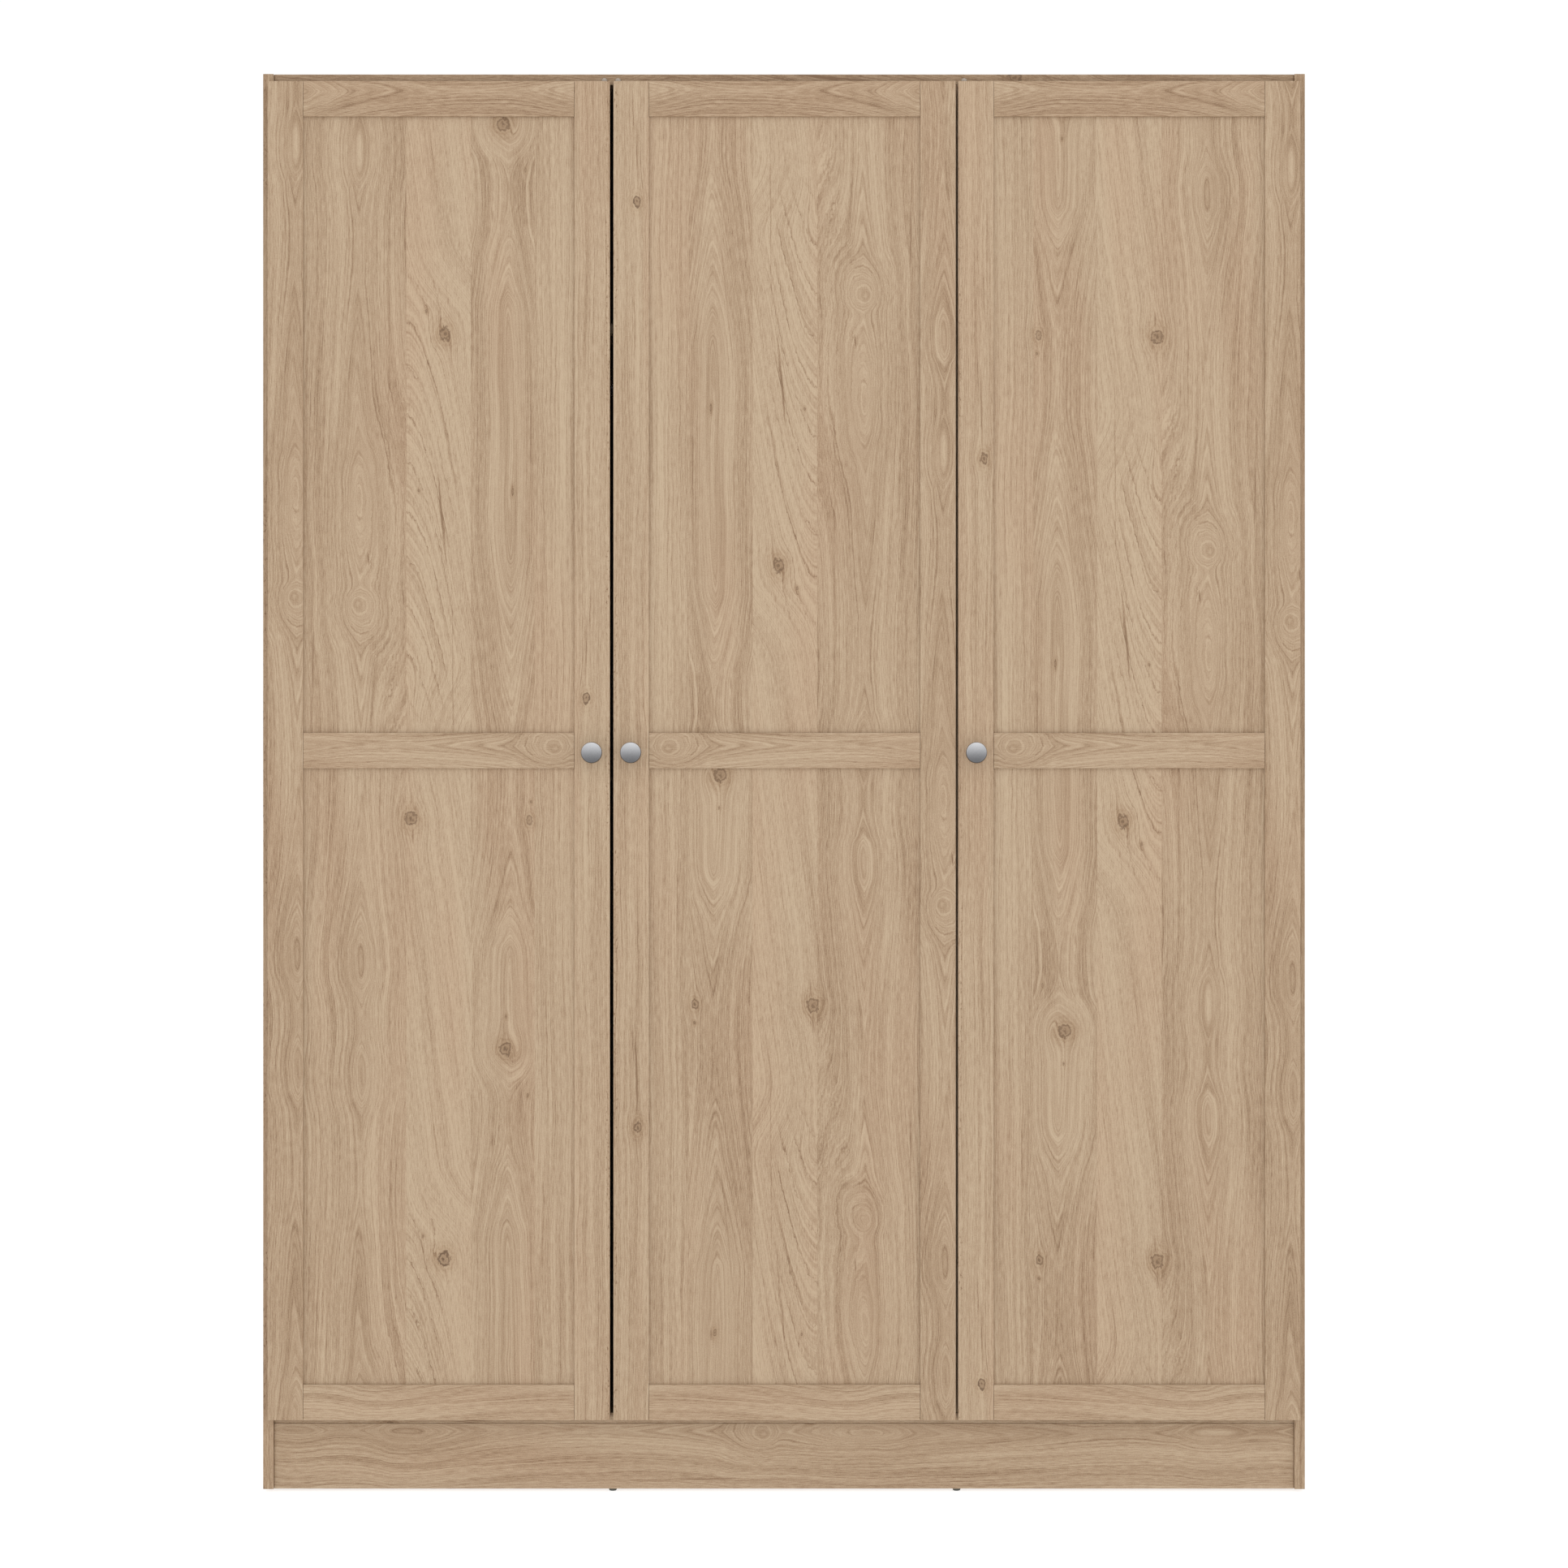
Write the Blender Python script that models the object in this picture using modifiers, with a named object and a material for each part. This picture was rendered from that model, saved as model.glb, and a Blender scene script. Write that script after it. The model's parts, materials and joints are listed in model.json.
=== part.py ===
"""Three-door wardrobe: a flat-pack case with framed doors on concealed cup hinges.

Metres. +Z is up and the doors face -Y. The glides stand on Z = 0, X = 0 is mid width,
and Y = 0 is halfway between the knobs' faces and the back.
"""
import math

import bmesh
import bpy
from mathutils import Vector

# Case
WIDTH = 1.473
BOARDS_HEIGHT = 2.001
CASE_DEPTH = 0.5625
BOARD = 0.015
PLAY = 0.0003
GLIDE_HEIGHT = 0.004
SETBACK = 0.0045
BOTTOM_LIFT = 0.0928
REBATE_WIDTH = 0.0075
BACK_SHEET = 0.003
DIVIDER_X = 0.2445
SUPPORT_X = -0.2425
HAT_SHELF_LIFT = 1.6361
SHELF_SETBACK = 0.030
SHELF_SPACE = 0.498
EDGE_EASE = 0.0005

# Segments round a full turn
BORE_SEGMENTS = 32
KNOB_SEGMENTS = 32
RAIL_SEGMENTS = 28
EYE_SEGMENTS = 20
GLIDE_SEGMENTS = 16
GLIDE_STEPS = 3
AXIS_MARK = 0.05
MERGE_DISTANCE = 0.00001

# Clothes rail
RAIL_HEIGHT = 0.030
RAIL_THICK = 0.015
RAIL_WALL = 0.001
RAIL_DROP = 0.052

# Glides
GLIDE_RADIUS = 0.0055
GLIDE_FLAT = 0.0035
SIDE_GLIDE_INSET = 0.040
PLINTH_GLIDE_INSET = 0.0095

# Doors
DOOR_WIDTH = 0.4826
DOOR_HEIGHT = 1.8881
DOOR_LIFT = 0.1000
DOOR_THICK = 0.016
DOOR_GAP = 0.0015
FRAME = 0.050
RECESS = 0.0045
PANEL_THICK = 0.005
GROOVE_DEPTH = 0.008
PANEL_BITE = 0.0075

# Knobs
KNOB_REACH = 0.024
KNOB_RADIUS = 0.015
KNOB_DROP = 0.003
KNOB_DOME = 0.0022
KNOB_LIP = 0.0018
KNOB_HEAD = 0.0078
KNOB_NECK = 0.0062
KNOB_FOOT = 0.0080
KNOB_FOOT_HEIGHT = 0.001
KNOB_FLARE = 0.002
KNOB_FLARE_HEIGHT = 0.0025
KNOB_UNDERCUT = 0.0015
KNOB_STEPS = 4

# Cup hinges: across the door from its hinge edge, and back from the door's rear face
HINGE_END_INSET = 0.100
CUP_RADIUS = 0.0175
CUP_DEPTH = 0.012
CUP_INSET = 0.0225
PIVOT_DEPTH = 0.0035
LINK_PATH = (
    (0.0, 0.0),
    (0.0015, 0.008),
    (0.0022, 0.016),
    (0.0012, 0.026),
    (-0.0020, 0.036),
    (-0.0060, 0.046),
)
LINK_THICK = 0.0024
LINK_HEIGHT = 0.011
LINK_EYE = 0.0029
ARM_FRONT = 0.0025
ARM_REAR = 0.062
ARM_LOW = 0.0140
ARM_TOP = 0.0332
ARM_WALL = 0.0012
ARM_HEIGHT = 0.0152
ARM_BLOCK_FRONT = 0.0455
PLATE_TOP = 0.0112
PLATE_FRONT = 0.024
PLATE_HEIGHT = 0.019
WING_FRONT = 0.0305
WING_WIDTH = 0.016
WING_HEIGHT = 0.048

# Places worked out from the above
DEPTH = KNOB_REACH + DOOR_THICK + DOOR_GAP + CASE_DEPTH
DOOR_FRONT = -DEPTH / 2 + KNOB_REACH
DOOR_BACK = DOOR_FRONT + DOOR_THICK
CASE_FRONT = DOOR_BACK + DOOR_GAP
CASE_BACK = CASE_FRONT + CASE_DEPTH
INNER_FRONT = CASE_FRONT + SETBACK
INNER_BACK = CASE_BACK - BACK_SHEET - 2 * PLAY
CASE_LOW = GLIDE_HEIGHT
CASE_HIGH = CASE_LOW + BOARDS_HEIGHT
SIDE_OUT = WIDTH / 2
SIDE_IN = SIDE_OUT - BOARD
FLOOR_LOW = CASE_LOW + BOTTOM_LIFT
FLOOR_HIGH = FLOOR_LOW + BOARD
ROOF_LOW = CASE_HIGH - BOARD
HAT_SHELF_LOW = CASE_LOW + HAT_SHELF_LIFT
DOOR_LOW = CASE_LOW + DOOR_LIFT
DOOR_HIGH = DOOR_LOW + DOOR_HEIGHT
DOOR_MID = (DOOR_LOW + DOOR_HIGH) / 2
PANEL_FRONT = DOOR_FRONT + RECESS + PLAY
HINGE_HEIGHTS = {"low": DOOR_LOW + HINGE_END_INSET, "mid": DOOR_MID, "high": DOOR_HIGH - HINGE_END_INSET}

# Each door: the X of its hinge edge, which way it reaches from there, and the face that carries its hinges
DOORS = {
    "left": {"edge": -0.7281, "reach": 1, "wall": -SIDE_IN},
    "middle": {"edge": 0.2421, "reach": -1, "wall": DIVIDER_X - BOARD / 2},
    "right": {"edge": 0.7281, "reach": -1, "wall": SIDE_IN},
}

# Colour, roughness and metallic value of each kind of surface
WOOD_DECOR = ((0.455, 0.345, 0.240), 0.55, 0.0)
RAW_BACK = ((0.300, 0.190, 0.110), 0.75, 0.0)
SATIN_METAL = ((0.560, 0.560, 0.550), 0.32, 1.0)
ZINC = ((0.620, 0.620, 0.600), 0.30, 1.0)
GLIDE_PLASTIC = ((0.105, 0.110, 0.100), 0.50, 0.0)


def clear_scene():
    """Remove every object of the open scene."""
    for item in list(bpy.data.objects):
        bpy.data.objects.remove(item, do_unlink=True)


def new_collection(name):
    """A collection linked to the scene."""
    group = bpy.data.collections.new(name)
    bpy.context.scene.collection.children.link(group)
    return group


def surface(name, look):
    """A Principled material of one colour, roughness and metallic value."""
    colour, roughness, metallic = look
    material = bpy.data.materials.new(name)
    material.use_nodes = True
    shader = material.node_tree.nodes["Principled BSDF"]
    shader.inputs["Base Color"].default_value = (*colour, 1.0)
    shader.inputs["Roughness"].default_value = roughness
    shader.inputs["Metallic"].default_value = metallic
    material.diffuse_color = (*colour, 1.0)
    return material


def add_object(name, mesh, place, look):
    """An object of the wardrobe with its own material."""
    item = bpy.data.objects.new(name, mesh)
    item.location = place
    mesh.materials.append(surface(name, look))
    PARTS.objects.link(item)
    return item


def add_tool(name, mesh, place):
    """A hidden object that a Boolean uses."""
    item = bpy.data.objects.new(name, mesh)
    item.location = place
    item.hide_render = True
    item.display_type = 'WIRE'
    TOOLS.objects.link(item)
    return item


def box_mesh(name, size):
    """A box about its own centre."""
    mesh = bpy.data.meshes.new(name)
    shape = bmesh.new()
    bmesh.ops.create_cube(shape, size=1.0)
    bmesh.ops.scale(shape, vec=size, verts=shape.verts)
    shape.to_mesh(mesh)
    shape.free()
    return mesh


def corners(xs, ys, zs):
    """The centre and the size of a box given by its limits, in either order."""
    low = Vector((min(xs), min(ys), min(zs)))
    high = Vector((max(xs), max(ys), max(zs)))
    return (low + high) / 2, high - low


def board(name, xs, ys, zs, look, ease=EDGE_EASE):
    """A board between limits along X, Y and Z, with eased edges."""
    centre, size = corners(xs, ys, zs)
    item = add_object(name, box_mesh(name, size), centre, look)
    if ease:
        edges = item.modifiers.new("eased_edges", 'BEVEL')
        edges.width = ease
        edges.segments = 1
        edges.limit_method = 'ANGLE'
    return item


def box_tool(name, xs, ys, zs):
    """A box for a Boolean, between limits along X, Y and Z."""
    centre, size = corners(xs, ys, zs)
    return add_tool(name, box_mesh(name, size), centre)


def cylinder_mesh(name, radius, length, segments):
    """A closed cylinder along Z about its own centre, with smooth sides."""
    mesh = bpy.data.meshes.new(name)
    shape = bmesh.new()
    bmesh.ops.create_cone(
        shape, cap_ends=True, segments=segments, radius1=radius, radius2=radius, depth=length
    )
    for face in shape.faces:
        face.smooth = len(face.verts) == 4
    shape.to_mesh(mesh)
    shape.free()
    return mesh


def combine(item, tool, operation):
    """Cut a tool out of an item, or join it on."""
    step = item.modifiers.new(tool.name, 'BOOLEAN')
    step.operation = operation
    step.solver = 'EXACT'
    step.object = tool


def turned(name, profile, place, look, segments, rotation=(0.0, 0.0, 0.0)):
    """A body of revolution about its local Z, from a profile that runs from top to bottom."""
    mesh = bpy.data.meshes.new(name)
    points = [(radius, 0.0, height) for radius, height in profile]
    edges = [(index, index + 1) for index in range(len(points) - 1)]
    mesh.from_pydata(points, edges, [])
    item = add_object(name, mesh, place, look)
    item.rotation_euler = rotation
    spin = item.modifiers.new("turned", 'SCREW')
    spin.axis = 'Z'
    spin.angle = math.tau
    spin.steps = segments
    spin.render_steps = segments
    spin.use_merge_vertices = True
    spin.merge_threshold = MERGE_DISTANCE
    spin.use_smooth_shade = True
    return item


def axis_empty(name, place):
    """An empty on a joint's axis."""
    empty = bpy.data.objects.new(name, None)
    empty.location = place
    empty.empty_display_size = AXIS_MARK
    PARTS.objects.link(empty)
    return empty


def hang(item, empty):
    """Parent an item to an empty and leave it where it stands."""
    item.parent = empty
    offset = Vector(empty.location)
    if empty.parent:
        offset += empty.parent.location
    item.location = Vector(item.location) - offset


# ---------------------------------------------------------------- case


def side_panel(name, side):
    """A full-depth side panel, rebated at its inner rear corner for the back sheet."""
    panel = board(
        name, (side * SIDE_IN, side * SIDE_OUT), (CASE_FRONT, CASE_BACK), (CASE_LOW, CASE_HIGH), WOOD_DECOR
    )
    rebate = box_tool(
        name + "_rebate",
        (side * (SIDE_IN - BOARD), side * (SIDE_IN + REBATE_WIDTH)),
        (CASE_BACK - BACK_SHEET - PLAY, CASE_BACK + BOARD),
        (CASE_LOW - BOARD, CASE_HIGH + BOARD),
    )
    combine(panel, rebate, 'DIFFERENCE')


def case_boards():
    """The top, the bottom, the divider, the plinth and what stands under the bottom."""
    between = (-SIDE_IN + PLAY, SIDE_IN - PLAY)
    depth = (INNER_FRONT, INNER_BACK)
    board("top_panel", between, depth, (ROOF_LOW, CASE_HIGH), WOOD_DECOR)
    board("bottom_panel", between, depth, (FLOOR_LOW, FLOOR_HIGH), WOOD_DECOR)
    divider = (DIVIDER_X - BOARD / 2, DIVIDER_X + BOARD / 2)
    board("divider_panel", divider, depth, (FLOOR_HIGH + PLAY, ROOF_LOW - PLAY), WOOD_DECOR)
    under = (CASE_LOW, FLOOR_LOW - PLAY)
    board("plinth_front", between, (INNER_FRONT, INNER_FRONT + BOARD), under, WOOD_DECOR)
    behind = (INNER_FRONT + BOARD + PLAY, INNER_BACK)
    for name, x in (("plinth_support_centre", SUPPORT_X), ("plinth_support_divider", DIVIDER_X)):
        board(name, (x - BOARD / 2, x + BOARD / 2), behind, under, WOOD_DECOR)


def back_sheets():
    """Two thin sheets that meet behind the divider."""
    depth = (CASE_BACK - BACK_SHEET, CASE_BACK)
    height = (FLOOR_LOW + PLAY, CASE_HIGH - PLAY)
    edge = SIDE_IN + REBATE_WIDTH - PLAY
    board("back_panel_left", (-edge, DIVIDER_X - PLAY / 2), depth, height, RAW_BACK, ease=0)
    board("back_panel_right", (DIVIDER_X + PLAY / 2, edge), depth, height, RAW_BACK, ease=0)


def shelves():
    """The hat shelf of the double compartment and the shelves of the single one."""
    depth = (INNER_FRONT + SHELF_SETBACK, INNER_BACK)
    double = (-SIDE_IN + PLAY, DIVIDER_X - BOARD / 2 - PLAY)
    single = (DIVIDER_X + BOARD / 2 + PLAY, SIDE_IN - PLAY)
    board("hat_shelf", double, depth, (HAT_SHELF_LOW, HAT_SHELF_LOW + BOARD), WOOD_DECOR)
    for index, name in enumerate(("shelf_high", "shelf_mid", "shelf_low")):
        low = HAT_SHELF_LOW - index * (SHELF_SPACE + BOARD)
        board(name, single, depth, (low, low + BOARD), WOOD_DECOR)


def clothes_rail():
    """An oval steel tube across the double compartment, under the hat shelf."""
    ends = (-SIDE_IN + PLAY, DIVIDER_X - BOARD / 2 - PLAY)
    centre = Vector((sum(ends) / 2, (INNER_FRONT + INNER_BACK) / 2, HAT_SHELF_LOW - RAIL_DROP))
    mesh = bpy.data.meshes.new("clothes_rail")
    shape = bmesh.new()
    bmesh.ops.create_cone(
        shape, cap_ends=False, segments=RAIL_SEGMENTS, radius1=0.5, radius2=0.5, depth=ends[1] - ends[0]
    )
    bmesh.ops.scale(shape, vec=(RAIL_HEIGHT, RAIL_THICK, 1.0), verts=shape.verts)
    for face in shape.faces:
        face.smooth = True
    shape.to_mesh(mesh)
    shape.free()
    rail = add_object("clothes_rail", mesh, centre, SATIN_METAL)
    rail.rotation_euler = (0.0, math.pi / 2, 0.0)
    wall = rail.modifiers.new("wall", 'SOLIDIFY')
    wall.thickness = RAIL_WALL
    wall.offset = -1.0


def glide(name, x, y):
    """A nail-on glide under a board's lower edge."""
    high = GLIDE_HEIGHT - PLAY
    turn = GLIDE_RADIUS - GLIDE_FLAT
    rounded = []
    for step in range(GLIDE_STEPS + 1):
        angle = step * math.pi / 2 / GLIDE_STEPS
        rounded.append((GLIDE_FLAT + turn * math.cos(angle), turn * (1 - math.sin(angle))))
    profile = [(0.0, high), (GLIDE_RADIUS, high)] + rounded + [(0.0, 0.0)]
    turned(name, profile, (x, y, 0.0), GLIDE_PLASTIC, GLIDE_SEGMENTS)


def glides():
    """Two under each side panel and two under the plinth board."""
    middle = SIDE_OUT - BOARD / 2
    for side_name, x in (("left", -middle), ("right", middle)):
        glide("glide_front_" + side_name, x, CASE_FRONT + SIDE_GLIDE_INSET)
        glide("glide_back_" + side_name, x, CASE_BACK - SIDE_GLIDE_INSET)
    glide("glide_plinth_centre", SUPPORT_X, INNER_FRONT + PLINTH_GLIDE_INSET)
    glide("glide_plinth_divider", DIVIDER_X, INNER_FRONT + PLINTH_GLIDE_INSET)


# ---------------------------------------------------------------- doors


def across(door, near, far):
    """The X limits of a span measured over a door from its hinge edge."""
    return door["edge"] + door["reach"] * near, door["edge"] + door["reach"] * far


def door_stile(name, door, near, groove, empty):
    """An upright of the door's frame, grooved on its inner edge for the panel."""
    stile = board(
        name, across(door, near, near + FRAME), (DOOR_FRONT, DOOR_BACK), (DOOR_LOW, DOOR_HIGH), WOOD_DECOR
    )
    inset = FRAME - GROOVE_DEPTH
    slot = box_tool(
        name + "_groove",
        across(door, *groove),
        (DOOR_FRONT + RECESS, PANEL_FRONT + PANEL_THICK + PLAY),
        (DOOR_LOW + inset, DOOR_HIGH - inset),
    )
    combine(stile, slot, 'DIFFERENCE')
    hang(stile, empty)
    return stile


def cup_bores(stile, name, door):
    """Blind bores for the hinge cups in a stile's rear face."""
    x = across(door, CUP_INSET, CUP_INSET)[0]
    for height_name, z in HINGE_HEIGHTS.items():
        mesh = cylinder_mesh(name, CUP_RADIUS, 2 * CUP_DEPTH, BORE_SEGMENTS)
        bore = add_tool(name + "_cup_" + height_name, mesh, (x, DOOR_BACK, z))
        bore.rotation_euler = (math.pi / 2, 0.0, 0.0)
        combine(stile, bore, 'DIFFERENCE')


def door_rail(name, door, low, groove, empty):
    """A crosspiece of the door's frame, grooved on its inner edge for the panel."""
    span = across(door, FRAME + PLAY, DOOR_WIDTH - FRAME - PLAY)
    rail = board(name, span, (DOOR_FRONT, DOOR_BACK), (low, low + FRAME), WOOD_DECOR)
    slot = box_tool(
        name + "_groove",
        across(door, 0.0, DOOR_WIDTH),
        (DOOR_FRONT + RECESS, PANEL_FRONT + PANEL_THICK + PLAY),
        groove,
    )
    combine(rail, slot, 'DIFFERENCE')
    hang(rail, empty)


def door_panel(name, door, empty):
    """The thin panel in the frame's grooves, and the flat middle rail on its face."""
    span = across(door, FRAME - PANEL_BITE, DOOR_WIDTH - FRAME + PANEL_BITE)
    height = (DOOR_LOW + FRAME - PANEL_BITE, DOOR_HIGH - FRAME + PANEL_BITE)
    panel = board(name + "_panel", span, (PANEL_FRONT, PANEL_FRONT + PANEL_THICK), height, WOOD_DECOR, ease=0)
    hang(panel, empty)
    span = across(door, FRAME + PLAY, DOOR_WIDTH - FRAME - PLAY)
    height = (DOOR_MID - FRAME / 2, DOOR_MID + FRAME / 2)
    rail = board(name + "_rail_middle", span, (DOOR_FRONT, DOOR_FRONT + RECESS), height, WOOD_DECOR)
    hang(rail, empty)


def knob_profile():
    """Radius and height from the crown of a mushroom knob down to its foot."""
    reach = KNOB_REACH - PLAY
    shoulder = KNOB_RADIUS - KNOB_LIP
    dome_base = reach - KNOB_DOME
    points = []
    for step in range(KNOB_STEPS + 1):
        share = step / KNOB_STEPS
        points.append((shoulder * share, dome_base + KNOB_DOME * (1 - share * share)))
    for step in range(1, KNOB_STEPS + 1):
        angle = math.pi / 2 - step * math.pi / KNOB_STEPS
        height = dome_base - KNOB_LIP + KNOB_LIP * math.sin(angle)
        points.append((shoulder + KNOB_LIP * math.cos(angle), height))
    underside = reach - KNOB_HEAD - KNOB_UNDERCUT
    points.append((KNOB_NECK + KNOB_FLARE, underside))
    points.append((KNOB_NECK, underside - KNOB_FLARE_HEIGHT))
    points.append((KNOB_NECK, KNOB_FOOT_HEIGHT + KNOB_FLARE_HEIGHT))
    points.append((KNOB_FOOT, KNOB_FOOT_HEIGHT))
    points.append((KNOB_FOOT, 0.0))
    points.append((0.0, 0.0))
    return points


def knob(name, door, empty):
    """The round knob at the middle of the free stile."""
    x = across(door, DOOR_WIDTH - FRAME / 2, 0.0)[0]
    place = (x, DOOR_FRONT - PLAY, DOOR_MID - KNOB_DROP)
    item = turned(name, knob_profile(), place, SATIN_METAL, KNOB_SEGMENTS, rotation=(math.pi / 2, 0.0, 0.0))
    hang(item, empty)


def build_door(key, door):
    """One framed door, all of it parented to an empty on its hinge axis."""
    name = "door_" + key
    empty = axis_empty(name + "_axis", (door["edge"], DOOR_FRONT, DOOR_LOW))
    hinge_stile = door_stile(
        name + "_stile_hinge", door, 0.0, (FRAME - GROOVE_DEPTH, FRAME + BOARD), empty
    )
    cup_bores(hinge_stile, name, door)
    inner = DOOR_WIDTH - FRAME
    door_stile(name + "_stile_knob", door, inner, (inner - BOARD, inner + GROOVE_DEPTH), empty)
    bottom = DOOR_LOW + FRAME
    door_rail(name + "_rail_bottom", door, DOOR_LOW, (bottom - GROOVE_DEPTH, bottom + BOARD), empty)
    top = DOOR_HIGH - FRAME
    door_rail(name + "_rail_top", door, top, (top - BOARD, top + GROOVE_DEPTH), empty)
    door_panel(name, door, empty)
    knob(name + "_knob", door, empty)
    return empty


# ---------------------------------------------------------------- hinges


def hinge_arm(name, door, z):
    """A channel arm on its mounting plate: the channel is open in front for the link."""

    def depth(near, far):
        return DOOR_BACK + near, DOOR_BACK + far

    def height(size):
        return z - size / 2, z + size / 2

    span = across(door, ARM_LOW, ARM_TOP)
    arm = board(name, span, depth(ARM_FRONT, ARM_REAR), height(ARM_HEIGHT), ZINC, ease=0)
    channel = box_tool(
        name + "_channel",
        across(door, ARM_LOW - BOARD, ARM_TOP - ARM_WALL),
        depth(ARM_FRONT - BOARD, ARM_BLOCK_FRONT),
        height(ARM_HEIGHT - 2 * ARM_WALL),
    )
    combine(arm, channel, 'DIFFERENCE')
    wall = abs(door["wall"] - door["edge"]) + PLAY
    block = box_tool(
        name + "_block",
        across(door, wall, ARM_LOW + ARM_WALL),
        depth(ARM_BLOCK_FRONT, ARM_REAR),
        height(ARM_HEIGHT - ARM_WALL),
    )
    combine(arm, block, 'UNION')
    plate = box_tool(
        name + "_plate",
        across(door, wall, PLATE_TOP),
        depth(PLATE_FRONT, ARM_REAR + ARM_WALL),
        height(PLATE_HEIGHT),
    )
    combine(arm, plate, 'UNION')
    wings = box_tool(
        name + "_wings",
        across(door, wall, PLATE_TOP),
        depth(WING_FRONT, WING_FRONT + WING_WIDTH),
        height(WING_HEIGHT),
    )
    combine(arm, wings, 'UNION')


def hinge_link(name, door, z, empty):
    """The bent link: its eye turns in the cup and its tail slides in the arm's channel."""
    mesh = bpy.data.meshes.new(name)
    shape = bmesh.new()
    path = [shape.verts.new((door["reach"] * x, y, -LINK_HEIGHT / 2)) for x, y in LINK_PATH]
    edges = [shape.edges.new(pair) for pair in zip(path, path[1:])]
    raised = bmesh.ops.extrude_edge_only(shape, edges=edges)["geom"]
    tops = [item for item in raised if isinstance(item, bmesh.types.BMVert)]
    bmesh.ops.translate(shape, vec=(0.0, 0.0, LINK_HEIGHT), verts=tops)
    for face in shape.faces:
        face.smooth = True
    shape.to_mesh(mesh)
    shape.free()
    pivot_x = across(door, CUP_INSET, 0.0)[0]
    place = (pivot_x, DOOR_BACK - PIVOT_DEPTH, z)
    link = add_object(name, mesh, place, ZINC)
    strap = link.modifiers.new("strap", 'SOLIDIFY')
    strap.thickness = LINK_THICK
    strap.offset = 0.0
    eye_mesh = cylinder_mesh(name + "_eye", LINK_EYE, LINK_HEIGHT + PLAY, EYE_SEGMENTS)
    eye = add_tool(name + "_eye", eye_mesh, place)
    combine(link, eye, 'UNION')
    hang(link, empty)


def build_hinges(key, door, door_empty):
    """The hinges of one door: arms stand on the case, links turn on one shared axis."""
    pivot_x = across(door, CUP_INSET, 0.0)[0]
    links = axis_empty("links_" + key + "_axis", (pivot_x, DOOR_BACK - PIVOT_DEPTH, DOOR_LOW))
    hang(links, door_empty)
    for height_name, z in HINGE_HEIGHTS.items():
        hinge_arm(f"hinge_arm_{key}_{height_name}", door, z)
        hinge_link(f"hinge_link_{key}_{height_name}", door, z, links)


clear_scene()
PARTS = new_collection("three_door_wardrobe")
TOOLS = new_collection("cutters")

side_panel("side_panel_left", -1)
side_panel("side_panel_right", 1)
case_boards()
back_sheets()
shelves()
clothes_rail()
glides()
for door_key, door_data in DOORS.items():
    build_hinges(door_key, door_data, build_door(door_key, door_data))
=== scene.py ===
import json
import math

import bmesh
import bpy
from mathutils import Matrix, Vector

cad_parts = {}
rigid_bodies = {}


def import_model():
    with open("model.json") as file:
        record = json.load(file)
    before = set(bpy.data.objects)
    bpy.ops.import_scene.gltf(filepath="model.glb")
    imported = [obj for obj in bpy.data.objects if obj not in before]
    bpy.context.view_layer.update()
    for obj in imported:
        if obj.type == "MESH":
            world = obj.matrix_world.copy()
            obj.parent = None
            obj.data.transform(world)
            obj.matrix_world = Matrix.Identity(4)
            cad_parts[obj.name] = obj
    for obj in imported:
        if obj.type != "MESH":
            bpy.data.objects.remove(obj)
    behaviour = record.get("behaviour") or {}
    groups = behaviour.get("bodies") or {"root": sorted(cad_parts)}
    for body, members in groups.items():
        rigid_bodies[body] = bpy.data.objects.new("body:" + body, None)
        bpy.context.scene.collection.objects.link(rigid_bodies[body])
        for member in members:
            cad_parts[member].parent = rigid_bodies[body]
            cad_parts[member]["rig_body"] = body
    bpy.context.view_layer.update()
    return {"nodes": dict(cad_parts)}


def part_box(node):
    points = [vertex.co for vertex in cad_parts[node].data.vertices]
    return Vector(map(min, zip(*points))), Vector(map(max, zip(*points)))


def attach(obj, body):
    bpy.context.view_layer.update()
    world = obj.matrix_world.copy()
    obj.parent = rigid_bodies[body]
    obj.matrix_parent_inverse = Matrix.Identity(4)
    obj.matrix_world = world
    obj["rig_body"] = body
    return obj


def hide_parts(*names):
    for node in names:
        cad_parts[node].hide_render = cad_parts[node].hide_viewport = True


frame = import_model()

# Sizes, in metres
BOARD_ROUND = 0.0007    # rounding of a board's long edges
DOOR_ROUND = 0.0006     # rounding of a door frame's edges
THIN_ROUND = 0.0003     # rounding of thin sheets
PLAY = 0.0003           # gap between pieces that fit into each other
CUT_OVER = 0.02         # how far a cutting tool reaches past the face it opens

CUP_RADIUS = 0.0172     # hinge cup, outside
CUP_WALL = 0.0008
CUP_DEPTH = 0.0114
CUP_RIM = 0.0186
CUP_INSET = 0.0225      # cup centre from the door's hinge edge
CUP_FLANGE = (Vector((-0.0045, 0.0001, -0.0290)), Vector((0.0180, 0.0012, 0.0290)))
CUP_SCREWS = (0.0105, 0.0225)  # from the cup's centre: towards the arm, and up or down
BORE_RADIUS = 0.0175
BORE_DEPTH = 0.0120
PIVOT_DEPTH = 0.0035    # cup pin behind the door's back face, into the door
PLATE_TOP = 0.0112      # face of the arm's mounting plate from the door's hinge edge
PLATE_SCREWS = (0.0385, 0.0175)  # from the cup's centre: back, and up or down
ARM_SCREWS = (0.0300, 0.0505)  # behind the door's back face

KNOB_DOME = 0.0015      # rise of the face's middle over its edge
KNOB_LIP = 0.0003
KNOB_EDGE = 0.0013      # rounding of the edge
KNOB_TAPER = 0.0026
KNOB_HEAD = 0.0085      # thickness of the head, down to the neck
KNOB_NECK = 0.0058
KNOB_FOOT = 0.0075
KNOB_SHADE_REFLECTION_BAND = 0.0010      # width of the band of painted shade and painted reflection round the edge

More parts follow.
